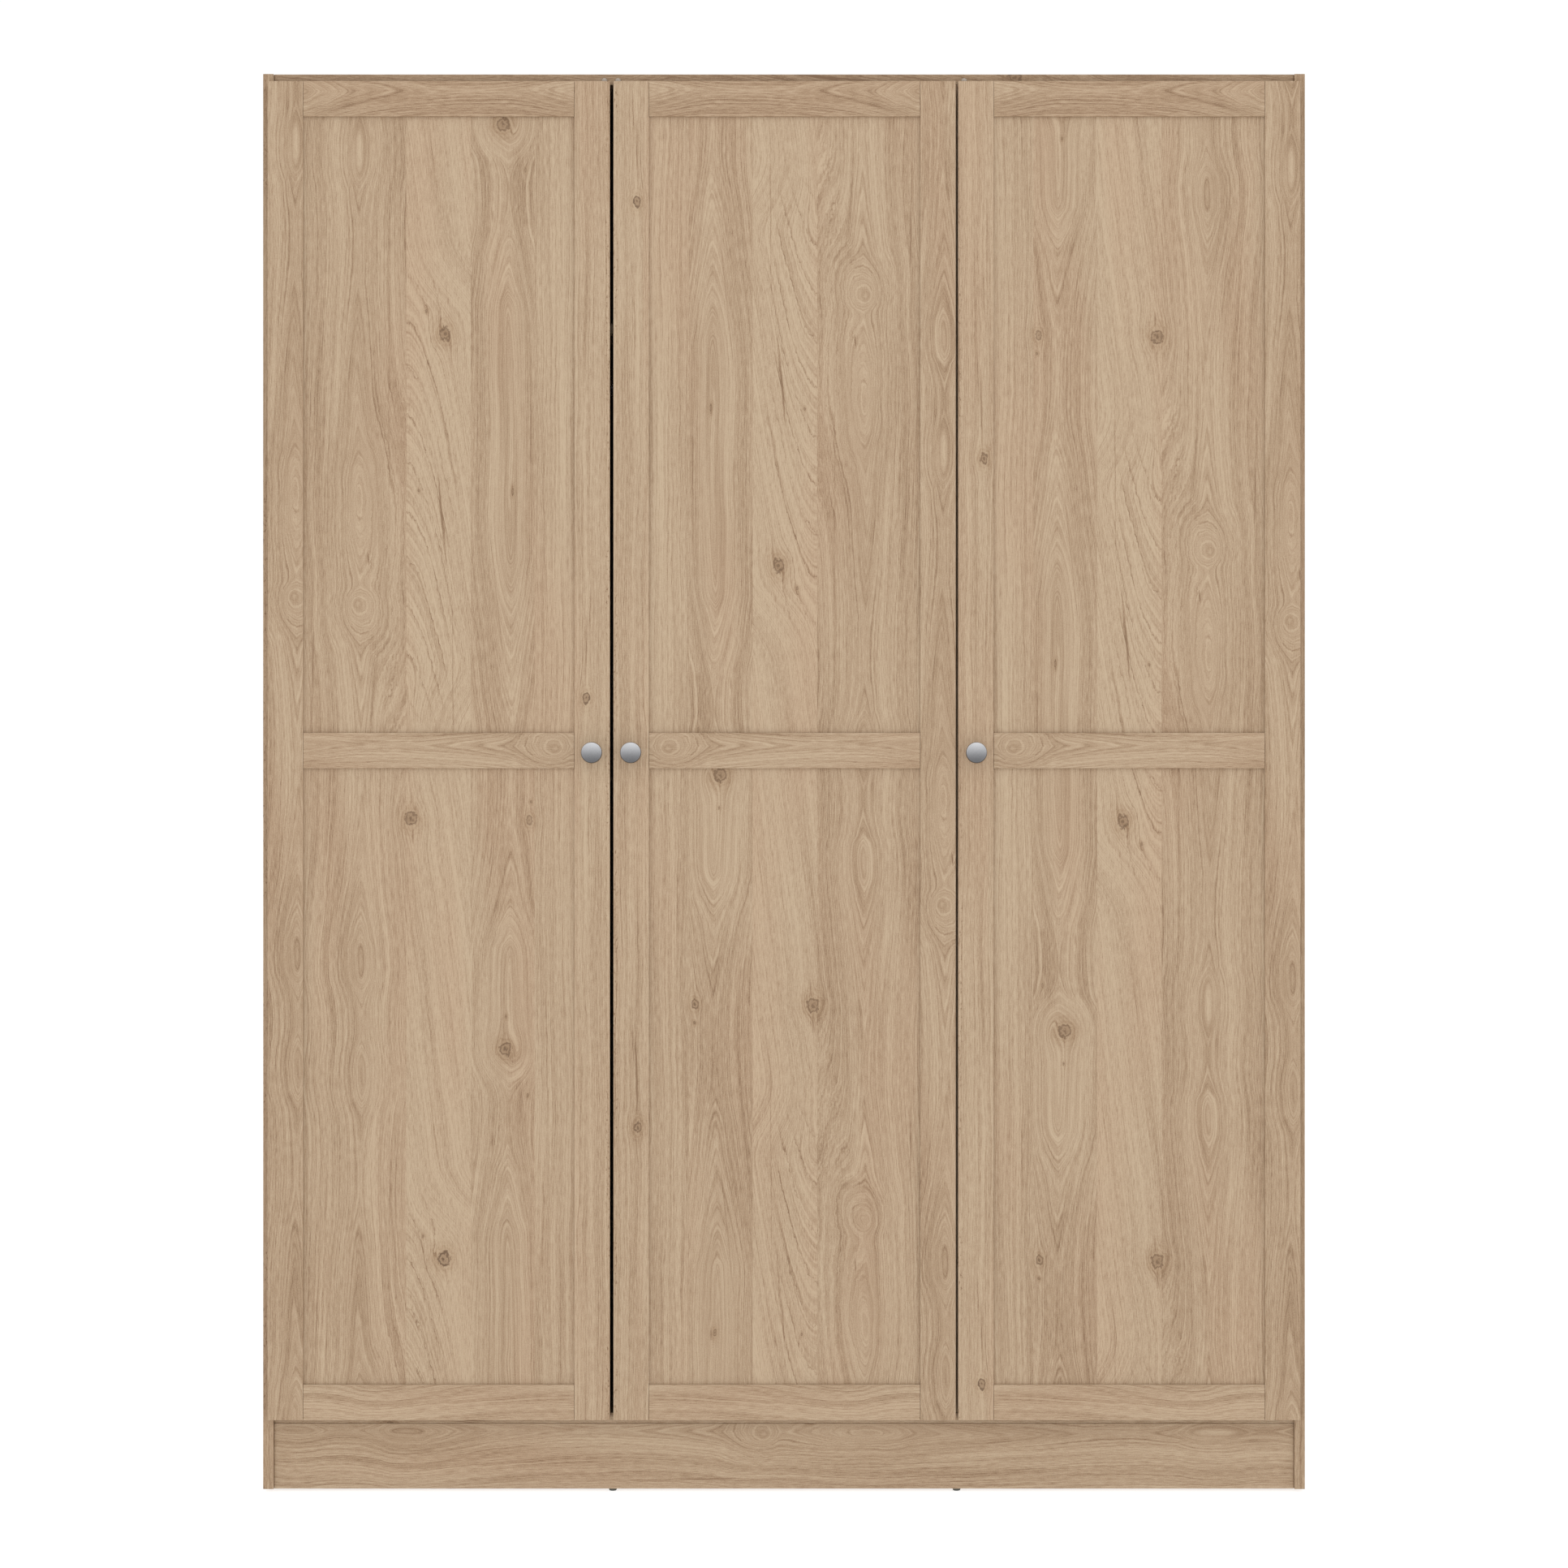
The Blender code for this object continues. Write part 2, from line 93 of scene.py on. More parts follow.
BUMPER_RADIUS = 0.0045
BUMPER_LIFT = 0.0029    # centre above the doors' top edge
BUMPER_SHANK = 0.3      # share of a bumper's height below its dome
BUMPER_INSETS = {"left": 0.0085, "middle": 0.0058, "right": 0.0092}  # from the door's free edge

SCREWS = {              # radius and height of each kind's head
    "cup": (0.0035, 0.0011), "arm": (0.0036, 0.0012), "plate": (0.0036, 0.0013), "knob": (0.0043, 0.0022),
    "rail": (0.0024, 0.0009),
}
SOCKET_PLAY = 0.0002    # gap between the rail's end and its socket's plate
SOCKET_SCREW = 0.0225   # a socket's screws above and below the rail
PIN_FRONT = 0.045       # shelf pins from the shelf's front and rear edges
PIN_REAR = 0.060
PIN_DROP = 0.0027       # a pin's centre below the shelf
CAM_FRONT = 0.055       # cam covers from the top panel's front, rear and end edges
CAM_REAR = 0.070
CAM_END = 0.034
NAIL_PITCH = 0.15
NAIL_INSET = 0.0045
NAIL_RISE = 0.0006      # the back sheets lie this far inside the rear edge, for the nails' heads
GLIDE_INSET = 0.0365    # rear glides' centre from the supports' rear edge

# Turned profiles as (radius, height), in metres
CUP_PIN = (
    (0.0, -0.0150), (0.0011, -0.0150), (0.0015, -0.0146), (0.0015, 0.0146), (0.0011, 0.0150), (0.0, 0.0150),
)
SHELF_PIN = ((0.0, 0.0), (0.0025, 0.0), (0.0025, 0.0080), (0.0021, 0.0085), (0.0, 0.0085))
CAM_COVER = (
    (0.0, 0.0), (0.0078, 0.0), (0.0078, 0.0004), (0.0072, 0.0009), (0.0064, 0.0009), (0.0060, 0.0007),
    (0.0, 0.0007),
)
NAIL = ((0.0, -0.0004), (0.0026, -0.0004), (0.0026, 0.0000), (0.0020, 0.0004), (0.0, 0.0005))
REAR_GLIDE = (
    (0.0, 0.0004), (0.0040, 0.0004), (0.0052, 0.0012), (0.0055, 0.0022), (0.0055, 0.0037), (0.0, 0.0037),
)
# The rail socket's loop, its radius in shares of the rail's oval and its height in metres
SOCKET = (
    (1.0, 0.0), (1.72, 0.0), (1.75, 0.0006), (1.72, 0.0022), (1.30, 0.0026), (1.26, 0.0110), (1.22, 0.0115),
    (1.0, 0.0115),
)

DOORS = ("left", "middle", "right")
LEVELS = ("low", "mid", "high")
SHELVES = ("hat_shelf", "shelf_high", "shelf_mid", "shelf_low")


# ---- colours

def linear(red, green, blue):
    """An 8-bit display colour as a linear RGBA colour."""
    def one(value):
        value /= 255
        return value / 12.92 if value <= 0.04045 else ((value + 0.055) / 1.055) ** 2.4
    return (one(red), one(green), one(blue), 1.0)


# ---- node trees

def preset(node, **values):
    """Sets inputs of a node that are named without spaces, or with _ for a space."""
    for name, value in values.items():
        node.inputs[name.replace("_", " ")].default_value = value


class Net:
    """Short calls that put nodes in one tree. A value is a number or an output socket."""

    def __init__(self, tree):
        self.tree = tree

    def where(self, kind="Object"):
        """Texture coordinates, of the object's own space unless another kind is named."""
        return self.put("TexCoord").outputs[kind]

    def put(self, kind, **settings):
        node = self.tree.nodes.new("ShaderNode" + kind)
        for key, value in settings.items():
            setattr(node, key, value)
        return node

    def feed(self, socket, value):
        if isinstance(value, bpy.types.NodeSocket):
            self.tree.links.new(value, socket)
        else:
            socket.default_value = value

    def math(self, operation, *values, clamp=False):
        node = self.put("Math", operation=operation, use_clamp=clamp)
        for socket, value in zip(node.inputs, values):
            self.feed(socket, value)
        return node.outputs[0]

    def add(self, a, b):
        return self.math('ADD', a, b)

    def sub(self, a, b):
        return self.math('SUBTRACT', a, b)

    def mul(self, a, b):
        return self.math('MULTIPLY', a, b)

    def madd(self, a, b, c):
        return self.math('MULTIPLY_ADD', a, b, c)

    def wrap(self, value, high, low):
        return self.math('WRAP', value, high, low)

    def from_place(self, along, place):
        """Distance along the grain from a place to the nearest repeat of the print."""
        return self.wrap(self.sub(along, place), DECOR_HEIGHT / 2, -DECOR_HEIGHT / 2)

    def vector(self, x, y, z=0.0):
        node = self.put("CombineXYZ")
        for socket, value in zip(node.inputs, (x, y, z)):
            self.feed(socket, value)
        return node.outputs[0]

    def dot(self, vector, axis):
        node = self.put("VectorMath", operation='DOT_PRODUCT')
        self.feed(node.inputs[0], vector)
        node.inputs[1].default_value = axis
        return node.outputs["Value"]

    def noise(self, x, y, detail=2.0, rough=0.5):
        """Noise of mean 0.5 over a plane; x and y already carry their scale."""
        node = self.put("TexNoise", noise_dimensions='2D')
        self.feed(node.inputs["Vector"], self.vector(x, y))
        preset(node, Scale=1.0, Detail=detail, Roughness=rough)
        return node.outputs[0]

    def speckle(self, place, scale, detail=2.0):
        """Noise of mean 0.5 in space."""
        node = self.put("TexNoise")
        self.feed(node.inputs["Vector"], place)
        preset(node, Scale=scale, Detail=detail)
        return node.outputs[0]

    def step(self, value, low, high, to_low=0.0, to_high=1.0, smooth=True):
        node = self.put("MapRange", interpolation_type='SMOOTHSTEP' if smooth else 'LINEAR')
        self.feed(node.inputs["Value"], value)
        preset(node, From_Min=low, From_Max=high, To_Min=to_low, To_Max=to_high)
        return node.outputs["Result"]

    def curve(self, value, points):
        """A smooth curve through given points, over 0 to 1."""
        node = self.put("FloatCurve")
        self.feed(node.inputs["Value"], value)
        curve = node.mapping.curves[0]
        for place, height in points[1:-1]:
            curve.points.new(place, height)
        for point, (place, height) in zip(curve.points, points):
            point.location = (place, height)
        node.mapping.update()
        return node.outputs["Value"]

    def ramp(self, value, stops):
        node = self.put("ValToRGB")
        self.feed(node.inputs["Fac"], value)
        elements = node.color_ramp.elements
        while len(elements) < len(stops):
            elements.new(0.5)
        for element, (place, colour) in zip(elements, stops):
            element.position = place
            element.color = colour
        return node.outputs["Color"]

    def mix(self, share, a, b, blend='MIX'):
        node = self.put("Mix", data_type='RGBA', blend_type=blend)
        self.feed(node.inputs["Factor"], share)
        self.feed(node.inputs[6], a)
        self.feed(node.inputs[7], b)
        return node.outputs[2]

    def group(self, tree, **values):
        node = self.put("Group")
        node.node_tree = tree
        for name, value in values.items():
            self.feed(node.inputs[name], value)
        return node


def new_group(name, inputs, outputs):
    """A node group with float inputs and outputs, but for an output named Color."""
    tree = bpy.data.node_groups.new(name, 'ShaderNodeTree')
    for label in inputs:
        tree.interface.new_socket(label, in_out='INPUT', socket_type='NodeSocketFloat')
    for label in outputs:
        kind = 'NodeSocketColor' if label == "Color" else 'NodeSocketFloat'
        tree.interface.new_socket(label, in_out='OUTPUT', socket_type=kind)
    start = tree.nodes.new("NodeGroupInput")
    end = tree.nodes.new("NodeGroupOutput")
    return tree, Net(tree), start.outputs, end.inputs


# ---- wood decor

DECOR_WIDTH = 0.5       # the printed decor repeats at this width and height
DECOR_HEIGHT = 1.305
# Staves of the print from left to right: left border, grain centre, tone, seed
STAVES = (
    (-0.250, 5.00, 0.03, 3.1),
    (-0.192, -0.112, 0.05, 7.7),
    (-0.046, 2.00, -0.14, 11.3),
    (0.045, 0.098, 0.03, 15.9),
    (0.135, 5.00, -0.03, 21.7),
    (0.200, 3.00, 0.00, 27.2),
)
# Knots: across, along, radius, stretch along the grain, darkness
KNOTS = (
    (0.007, 0.327, 0.0072, 1.30, 1.0),
    (-0.019, 0.359, 0.0017, 1.5, 1.0),
    (-0.038, 0.948, 0.0080, 1.15, 1.0),
    (0.126, 0.946, 0.0046, 1.4, 0.8),
    (0.128, 0.972, 0.0015, 1.3, 1.0),
    (0.091, 0.623, 0.0078, 1.05, 1.0),
    (0.092, 0.669, 0.0012, 2.0, 0.9),
    (0.123, 0.558, 0.0013, 2.2, 0.9),
    (0.207, 1.118, 0.0046, 1.6, 1.0),
    (-0.027, 0.106, 0.0013, 1.8, 0.9),
    (0.102, 0.104, 0.0015, 3.0, 1.0),
)
PLACED = ("Across", "Along", "Radius", "Stretch")     # what places a knot or a swirl
# Swirls with closed rings: across, along, radius, stretch along the grain
EYES = (
    (-0.115, 1.252, 0.014, 1.35),
    (-0.114, 0.098, 0.010, 4.20),
)
# Dark streaks: across, along, half length, tilt, half width, darkness
STREAKS = (
    (0.004, 0.072, 0.064, -0.083, 0.0012, 1.7),
    (0.009, 0.030, 0.050, -0.060, 0.0006, 0.9),
    (0.080, 1.275, 0.135, -0.106, 0.0006, 0.7),
    (0.104, 0.106, 0.012, 0.000, 0.0009, 1.1),
    (0.0195, 1.150, 0.190, -0.008, 0.0006, 0.8),
    (-0.178, 1.140, 0.090, 0.020, 0.0009, 0.9),
    (-0.100, 0.009, 0.012, -0.060, 0.0008, 1.4),
    (-0.070, 0.300, 0.500, 0.002, 0.0007, 0.35),
    (-0.062, 0.500, 0.450, -0.004, 0.0006, 0.35),
    (-0.186, 0.500, 0.600, 0.002, 0.0008, 0.35),
    (-0.105, 0.975, 0.045, 0.000, 0.0030, 0.6),
    (0.117, 0.530, 0.060, -0.080, 0.0050, 0.4),
    (0.076, 0.493, 0.012, 0.050, 0.0007, 1.0),
    (-0.040, 0.972, 0.016, 0.020, 0.0008, 1.0),
    (-0.037, 0.922, 0.014, -0.030, 0.0009, 0.8),
    (0.209, 1.190, 0.070, 0.020, 0.0011, 1.2),
    (0.214, 1.240, 0.040, 0.040, 0.0007, 0.8),
    (0.130, 0.300, 0.400, 0.000, 0.0007, 0.3),
)
# Depth below the surface of the two arched staves' pith along the repeat, as share: depth / DEPTH_UNIT
DEPTH_UNIT = 0.06
LEFT_PITH = (
    (0.0, 0.26), (0.03, 0.20), (0.09, 0.16), (0.117, 0.24), (0.143, 0.32), (0.25, 0.46), (0.345, 0.56),
    (0.40, 0.50), (0.45, 0.34), (0.50, 0.44), (0.54, 0.36), (0.57, 0.22), (0.60, 0.30), (0.64, 0.44),
    (0.70, 0.56), (0.78, 0.62), (0.86, 0.56), (0.893, 0.50), (0.929, 0.42), (0.959, 0.34), (1.0, 0.26),
)
RIGHT_PITH = (
    (0.0, 0.15), (0.04, 0.05), (0.25, 0.05), (0.30, 0.26), (0.34, 0.42), (0.41, 0.60), (0.45, 0.35),
    (0.49, 0.06), (0.56, 0.06), (0.60, 0.28), (0.66, 0.60), (0.78, 0.75), (0.86, 0.62), (0.933, 0.43),
    (0.975, 0.26), (1.0, 0.15),
)
# Slanted stave: its veins leave the left border and turn down, and show over part of the repeat
VEIN_BORDER = -0.047
VEIN_REACH = 0.061      # a vein falls by VEIN_DROP over this width
VEIN_DROP = 0.178
VEIN_TURN = 1.7         # power of that fall
VEIN_PITCH = 0.066
VEIN_WIDTH = 0.0013
VEIN_CROWD = 66.0       # how much closer the veins lie for each metre from the border
VEIN_MIDDLE = 0.105     # middle of the veined part along the repeat
VEIN_FADE = (0.24, 0.36)  # the veins fade out at these distances from it
VEIN_LEAN = 8.5         # slope of the grain in the rest of the stave
SLANT_RATE = 0.18       # how fast its rings pass along the grain
TICK_START = 0.234      # short ticks lie to the right of this line

ARCH_POWER = 1.45       # shape of the arches: 2 is round, 1 is pointed
EYE_RIPPLE = 0.0024
EYE_TILT = 0.25         # how far a swirl's rings lie off centre
KNOT_PUSH = 0.9         # how far the grain gives way round a knot
KNOT_SPREAD = 0.11      # how fast that fades outwards
KNOT_GLOW = 0.22        # how fast a knot's halo fades outwards
KNOT_RINGS = 8.0        # rings in a knot's halo, in radians for each radius
SEED_RATE = 22.0        # makes the two sides of an arch differ

# Noise over the sheet: waves a metre across and along, detail, roughness
SHEET_NOISE = {
    "sway": (7, 2.2, 1.0, 0.5),
    "wobble": (34, 9, 3.0, 0.55),
    "ripple": (170, 120, 2.0, 0.65),
    "broken": (60, 5, 1.0, 0.5),
    "pores": (900, 60, 3.0, 0.7),
    "grit": (1000, 560, 1.0, 0.5),
    "jag": (190, 75, 2.5, 0.6),
    "patches": (9, 2.3, 2.0, 0.5),
}
# Noise over the growth rings: waves a metre of ring and along the grain, detail, roughness
RING_NOISE = {
    "bands": (30, 0.7, 1.5, 0.5),
    "lines": (190, 1.1, 3.0, 0.6),
    "fine": (800, 4.0, 2.0, 0.6),
    "veins": (75, 0.9, 1.0, 0.5),
}
VEIN_SEED = 40.0
# Waves a metre of the slanting flecks: along and across for each of the noise's two axes
FLECKS = ((90.0, 420.0), (170.0, -120.0))
# How strongly each mark darkens the print, in shares of its ramp
BASE = 0.37
STRENGTH = {
    "bands": 0.50, "lines": 0.85, "fine": 1.15, "grit": 0.6, "streaks": 0.60, "patches": 0.22, "flecks": 0.30,
    "ticks": 0.65, "vein": 0.20, "zigzag": 0.9, "halo": 0.30, "rings": 0.25,
}
SLANTED_LESS = {"bands": -0.10, "lines": -0.40}  # what the slanted stave's strengths change by
OPEN_GRAIN = (0.65, 1.45)  # strength of the pores, from a pith outwards
WOOD_RAMP = (
    (0.0, linear(191, 169, 141)),
    (0.35, linear(178, 153.5, 126.5)),
    (0.65, linear(165, 139, 111)),
    (1.0, linear(138, 111, 85)),
)
PINK = linear(253, 243, 240)
HALO_BROWN = linear(163, 134, 102)
CORE_BROWN = linear(152, 125, 97)
BARK_BROWN = linear(104, 80, 60)

# How the print's axes lie on upright and level boards
UPRIGHT = {"across": (1.0, 1.0, 0.0), "along": (0.0, 0.0, 1.0)}
LEVEL = {"across": (0.0, 1.0, 1.0), "along": (1.0, 0.0, 0.0)}
# Where the boards' prints start, in metres of the decor: across and along
UPRIGHT_STEP = (0.07, 0.31)  # from one upright or level board to the next
LEVEL_STEP = (0.11, 0.37)
SUPPORT_STEP = 0.2
BACK_START = (0.1, 0.2)
PLINTH_SWIRL = (-0.028, 0.0806)  # where the print's swirl lies on the plinth, across and up
# How each rail is cut from the print: across at its middle, swirl's place from its middle, tone
RAIL_PRINT = {
    "top": (0.098, 0.30, 0.13),
    "middle": (-0.115, 0.165, 0.07),
    "bottom": (-0.150, 0.42, -0.05),
}
PANEL_START = {"middle": 0.849, "right": 0.488}
HINGE_STILE_START = {"left": (-0.119, -0.014), "middle": (-0.112, 0.42), "right": (-0.116, 0.02)}
KNOB_STILE_START = {"left": -0.004, "middle": -0.704, "right": 0.963}
KNOB_STILE_ACROSS = 0.225
TONES = {
    # the top panel's print is darker than the other level boards'
    "upright": 0.10, "top_panel": 0.42, "level": 0.06, "plinth": 0.04,
    "hinge_stile": 0.06, "knob_stile": -0.02,
}


def knot_group():
    """Pushes the grain aside round one knot, and gives the knot's core and halo."""
    tree, net, given, out = new_group(
        "knot", ("U", "V", "Ripple", *PLACED), ("U", "Core", "Bark", "Halo", "Rings")
    )
    side = net.sub(given["U"], given["Across"])
    along = net.from_place(given["V"], given["Along"])
    long = net.math('DIVIDE', along, given["Stretch"])
    plain = net.math('SQRT', net.add(net.mul(side, side), net.mul(long, long)))
    distance = net.math('DIVIDE', plain, given["Radius"])
    wide = net.math('EXPONENT', net.mul(net.mul(distance, distance), -KNOT_SPREAD))
    net.feed(out["U"], net.sub(given["U"], net.mul(net.mul(side, wide), KNOT_PUSH)))
    uneven = net.add(distance, given["Ripple"])
    net.feed(out["Core"], net.step(uneven, 0.60, 1.15, 1.0, 0.0))
    edge = net.step(net.math('ABSOLUTE', net.sub(uneven, 0.92)), 0.05, 0.30, 1.0, 0.0)
    net.feed(out["Bark"], net.math('MAXIMUM', edge, net.step(uneven, 0.15, 0.50, 1.0, 0.0)))
    net.feed(out["Halo"], net.math('EXPONENT', net.mul(net.mul(uneven, uneven), -KNOT_GLOW)))
    net.feed(out["Rings"], net.math('SINE', net.mul(uneven, KNOT_RINGS)))
    return tree


def streak_group():
    """One dark line along the grain that fades out at both ends."""
    tree, net, given, out = new_group(
        "streak", ("U", "V", "Across", "Along", "Length", "Tilt", "Width"), ("Dark",)
    )
    along = net.from_place(given["V"], given["Along"])
    side = net.sub(net.sub(given["U"], given["Across"]), net.mul(along, given["Tilt"]))
    reach = net.math('DIVIDE', along, given["Length"])
    fade = net.math('SUBTRACT', 1.0, net.mul(reach, reach), clamp=True)
    thin = net.math('DIVIDE', side, net.mul(given["Width"], net.add(0.25, fade)))
    net.feed(out["Dark"], net.mul(fade, net.math('EXPONENT', net.mul(net.mul(thin, thin), -1.0))))
    return tree


def eye_group():
    """Turns the grain's contours into closed rings round one centre."""
    tree, net, given, out = new_group("eye", ("U", "V", "Ring", "Ripple", *PLACED), ("Ring",))
    side = net.sub(given["U"], given["Across"])
    along = net.from_place(given["V"], given["Along"])
    long = net.math('DIVIDE', along, given["Stretch"])
    distance = net.math('SQRT', net.add(net.mul(side, side), net.mul(long, long)))
    rings = net.madd(long, EYE_TILT, net.madd(side, -EYE_TILT, distance))
    rings = net.madd(given["Ripple"], EYE_RIPPLE, rings)
    net.feed(out["Ring"], net.math('SMOOTH_MIN', given["Ring"], rings, given["Radius"]))
    return tree


def decor_group():
    """The printed oak decor in metres: U across the grain and V along it."""
    tree, net, given, out = new_group("decor", ("U", "V", "Tone"), ("Color", "Gloss"))
    across, along = given["U"], given["V"]
    u = net.wrap(across, DECOR_WIDTH / 2, -DECOR_WIDTH / 2)
    v = net.wrap(along, DECOR_HEIGHT, 0.0)

    def sheet(name):
        wide, high, detail, rough = SHEET_NOISE[name]
        return net.noise(net.mul(across, wide), net.mul(along, high), detail, rough)

    def centred(value):
        return net.sub(value, 0.5)

    wobble = centred(sheet("wobble"))
    bent = net.madd(wobble, 0.0065, net.madd(centred(sheet("sway")), 0.014, u))

    core = bark = halo = rings = 0.0
    ripple = net.mul(centred(sheet("ripple")), 1.3)
    knot = knot_group()
    for *placed, dark in KNOTS:
        node = net.group(knot, U=bent, V=v, Ripple=ripple, **dict(zip(PLACED, placed)))
        bent = node.outputs["U"]
        glow = net.mul(node.outputs["Halo"], dark)
        core = net.math('MAXIMUM', core, net.mul(node.outputs["Core"], dark))
        bark = net.math('MAXIMUM', bark, net.mul(node.outputs["Bark"], dark))
        halo = net.math('MAXIMUM', halo, glow)
        rings = net.add(rings, net.mul(node.outputs["Rings"], glow))

    streaks = 0.0
    streak = streak_group()
    winding = net.madd(wobble, 0.0030, u)
    for place, height, length, slope, width, dark in STREAKS:
        node = net.group(
            streak, U=winding, V=v, Across=place, Along=height, Length=length, Tilt=slope, Width=width
        )
        streaks = net.madd(node.outputs["Dark"], dark, streaks)

    centre, tone, seed = STAVES[0][1:]
    passed = []
    for (border, *values), (_, *before) in zip(STAVES[1:], STAVES):
        past = net.math('GREATER_THAN', u, border)
        centre = net.madd(past, values[0] - before[0], centre)
        tone = net.madd(past, values[1] - before[1], tone)
        seed = net.madd(past, values[2] - before[2], seed)
        passed.append(past)
    in_left = net.sub(passed[0], passed[1])
    in_slanted = net.sub(passed[1], passed[2])
    in_right = net.sub(passed[2], passed[3])

    share = net.math('DIVIDE', v, DECOR_HEIGHT)
    depth = net.add(
        net.mul(net.mul(net.curve(share, LEFT_PITH), DEPTH_UNIT), in_left),
        net.mul(net.mul(net.curve(share, RIGHT_PITH), DEPTH_UNIT), in_right),
    )
    reach = net.math('MAXIMUM', net.sub(bent, VEIN_BORDER), 0.0)
    drop = net.mul(net.math('POWER', net.mul(reach, 1 / VEIN_REACH), VEIN_TURN), VEIN_DROP)
    distance = net.math('ABSOLUTE', net.from_place(v, VEIN_MIDDLE))
    veined = net.step(distance, *VEIN_FADE, 1.0, 0.0)
    lean = net.add(net.mul(drop, veined), net.mul(net.mul(reach, VEIN_LEAN), net.sub(1.0, veined)))
    slanted = net.madd(net.add(along, lean), SLANT_RATE, 1.0)
    side = net.mul(net.sub(bent, centre), net.sub(1.0, in_slanted))
    side = net.add(side, net.mul(slanted, in_slanted))
    spread = net.add(
        net.math('POWER', net.math('ABSOLUTE', side), ARCH_POWER), net.math('POWER', depth, ARCH_POWER)
    )
    ring = net.math('POWER', spread, 1 / ARCH_POWER)
    eye = eye_group()
    swaying = net.madd(wobble, 0.014, u)
    for placed in EYES:
        node = net.group(eye, U=swaying, V=v, Ring=ring, Ripple=ripple, **dict(zip(PLACED, placed)))
        ring = net.add(net.mul(node.outputs["Ring"], in_left), net.mul(ring, net.sub(1.0, in_left)))

    def grown(name, place):
        wide, high, detail, rough = RING_NOISE[name]
        return net.noise(net.mul(ring, wide), net.madd(along, high, place), detail, rough)

    turned = net.madd(side, SEED_RATE, seed)
    veins = centred(grown("veins", net.add(seed, VEIN_SEED)))
    vein = net.step(net.math('ABSOLUTE', veins), 0.0, 0.035, 1.0, 0.0)
    broken = sheet("broken")
    pores = sheet("pores")
    flecks = net.noise(*(net.madd(along, high, net.mul(across, wide)) for high, wide in FLECKS), 1.0)
    fall = net.add(along, drop)
    tooth = net.math('FRACT', net.madd(centred(sheet("jag")), 0.34, net.mul(fall, 1 / VEIN_PITCH)))
    behind = net.math(
        'DIVIDE', net.mul(net.sub(1.0, tooth), VEIN_PITCH), net.madd(reach, VEIN_CROWD, 1.0)
    )
    zigzag = net.mul(
        net.mul(net.math('EXPONENT', net.mul(behind, -1 / VEIN_WIDTH)), net.step(u, -0.005, 0.035, 1.0, 0.0)),
        net.mul(in_slanted, net.mul(veined, net.step(broken, 0.30, 0.55, 0.45, 1.0))),
    )
    ticks = net.mul(net.step(flecks, 0.62, 0.72), net.step(u, TICK_START, TICK_START + 0.004))

    marks = {
        "fine": centred(grown("fine", turned)),
        "grit": centred(sheet("grit")),
        "streaks": net.mul(streaks, net.step(broken, 0.2, 0.5, 0.35, 1.0)),
        "patches": centred(sheet("patches")),
        "flecks": net.mul(centred(flecks), in_slanted),
        "ticks": net.mul(ticks, net.step(broken, 0.45, 0.60)),
        "vein": net.mul(vein, net.step(broken, 0.35, 0.7)),
        "zigzag": zigzag,
        "halo": halo,
        "rings": rings,
    }
    dark = net.add(BASE, net.add(tone, given["Tone"]))
    for name in ("bands", "lines"):
        strength = net.madd(in_slanted, SLANTED_LESS[name], STRENGTH[name])
        dark = net.madd(centred(grown(name, turned)), strength, dark)
    for name, mark in marks.items():
        dark = net.madd(mark, STRENGTH[name], dark)
    dark = net.madd(centred(pores), net.step(ring, 0.012, 0.045, *OPEN_GRAIN), dark)

    wood = net.ramp(net.math('ADD', dark, 0.0, clamp=True), WOOD_RAMP)
    pink = net.noise(net.mul(across, 11), net.madd(along, 1.7, seed), 1.0)
    wood = net.mix(net.step(pink, 0.4, 0.8, 0.0, 0.35), wood, PINK, 'MULTIPLY')
    wood = net.mix(net.mul(halo, 0.40), wood, HALO_BROWN)
    wood = net.mix(net.mul(core, 0.7), wood, CORE_BROWN)
    wood = net.mix(net.mul(bark, net.step(broken, 0.2, 0.6, 0.9, 0.55)), wood, BARK_BROWN)
    net.feed(out["Color"], wood)
    net.feed(out["Gloss"], net.step(dark, 0.0, 1.0, 0.52, 0.64))
    return tree


DECOR = decor_group()


def shading(material):
    """A material's tree and its shader."""
    material.use_nodes = True
    return Net(material.node_tree), material.node_tree.nodes["Principled BSDF"]


def paint_over(net, shader, share, colour):
    """Mixes a share of a colour over the shader's base colour."""
    base = shader.inputs["Base Color"]
    net.feed(base, net.mix(share, base.links[0].from_socket, colour))


def decor(name, across, along, start=(0.0, 0.0), tone=0.0):
    """Decor foil on a board: the object's axes across and along its grain, and where the print starts."""
    material = bpy.data.materials.new(name)
    net, shader = shading(material)
    side, rise = net.dot(net.where(), across), net.dot(net.where(), along)
    sheet = net.group(DECOR, U=net.add(side, start[0]), V=net.add(rise, start[1]), Tone=tone)
    net.feed(shader.inputs["Base Color"], sheet.outputs["Color"])
    net.feed(shader.inputs["Roughness"], sheet.outputs["Gloss"])
    bump = net.put("Bump")
    preset(bump, Strength=0.10, Distance=0.0003)
    wide, high = SHEET_NOISE["pores"][:2]
    net.feed(bump.inputs["Height"], net.noise(net.mul(side, wide), net.mul(rise, high), 1.0))
    net.feed(shader.inputs["Normal"], bump.outputs["Normal"])
    preset(shader, Specular_IOR_Level=0.35)
    return material


# ---- other materials

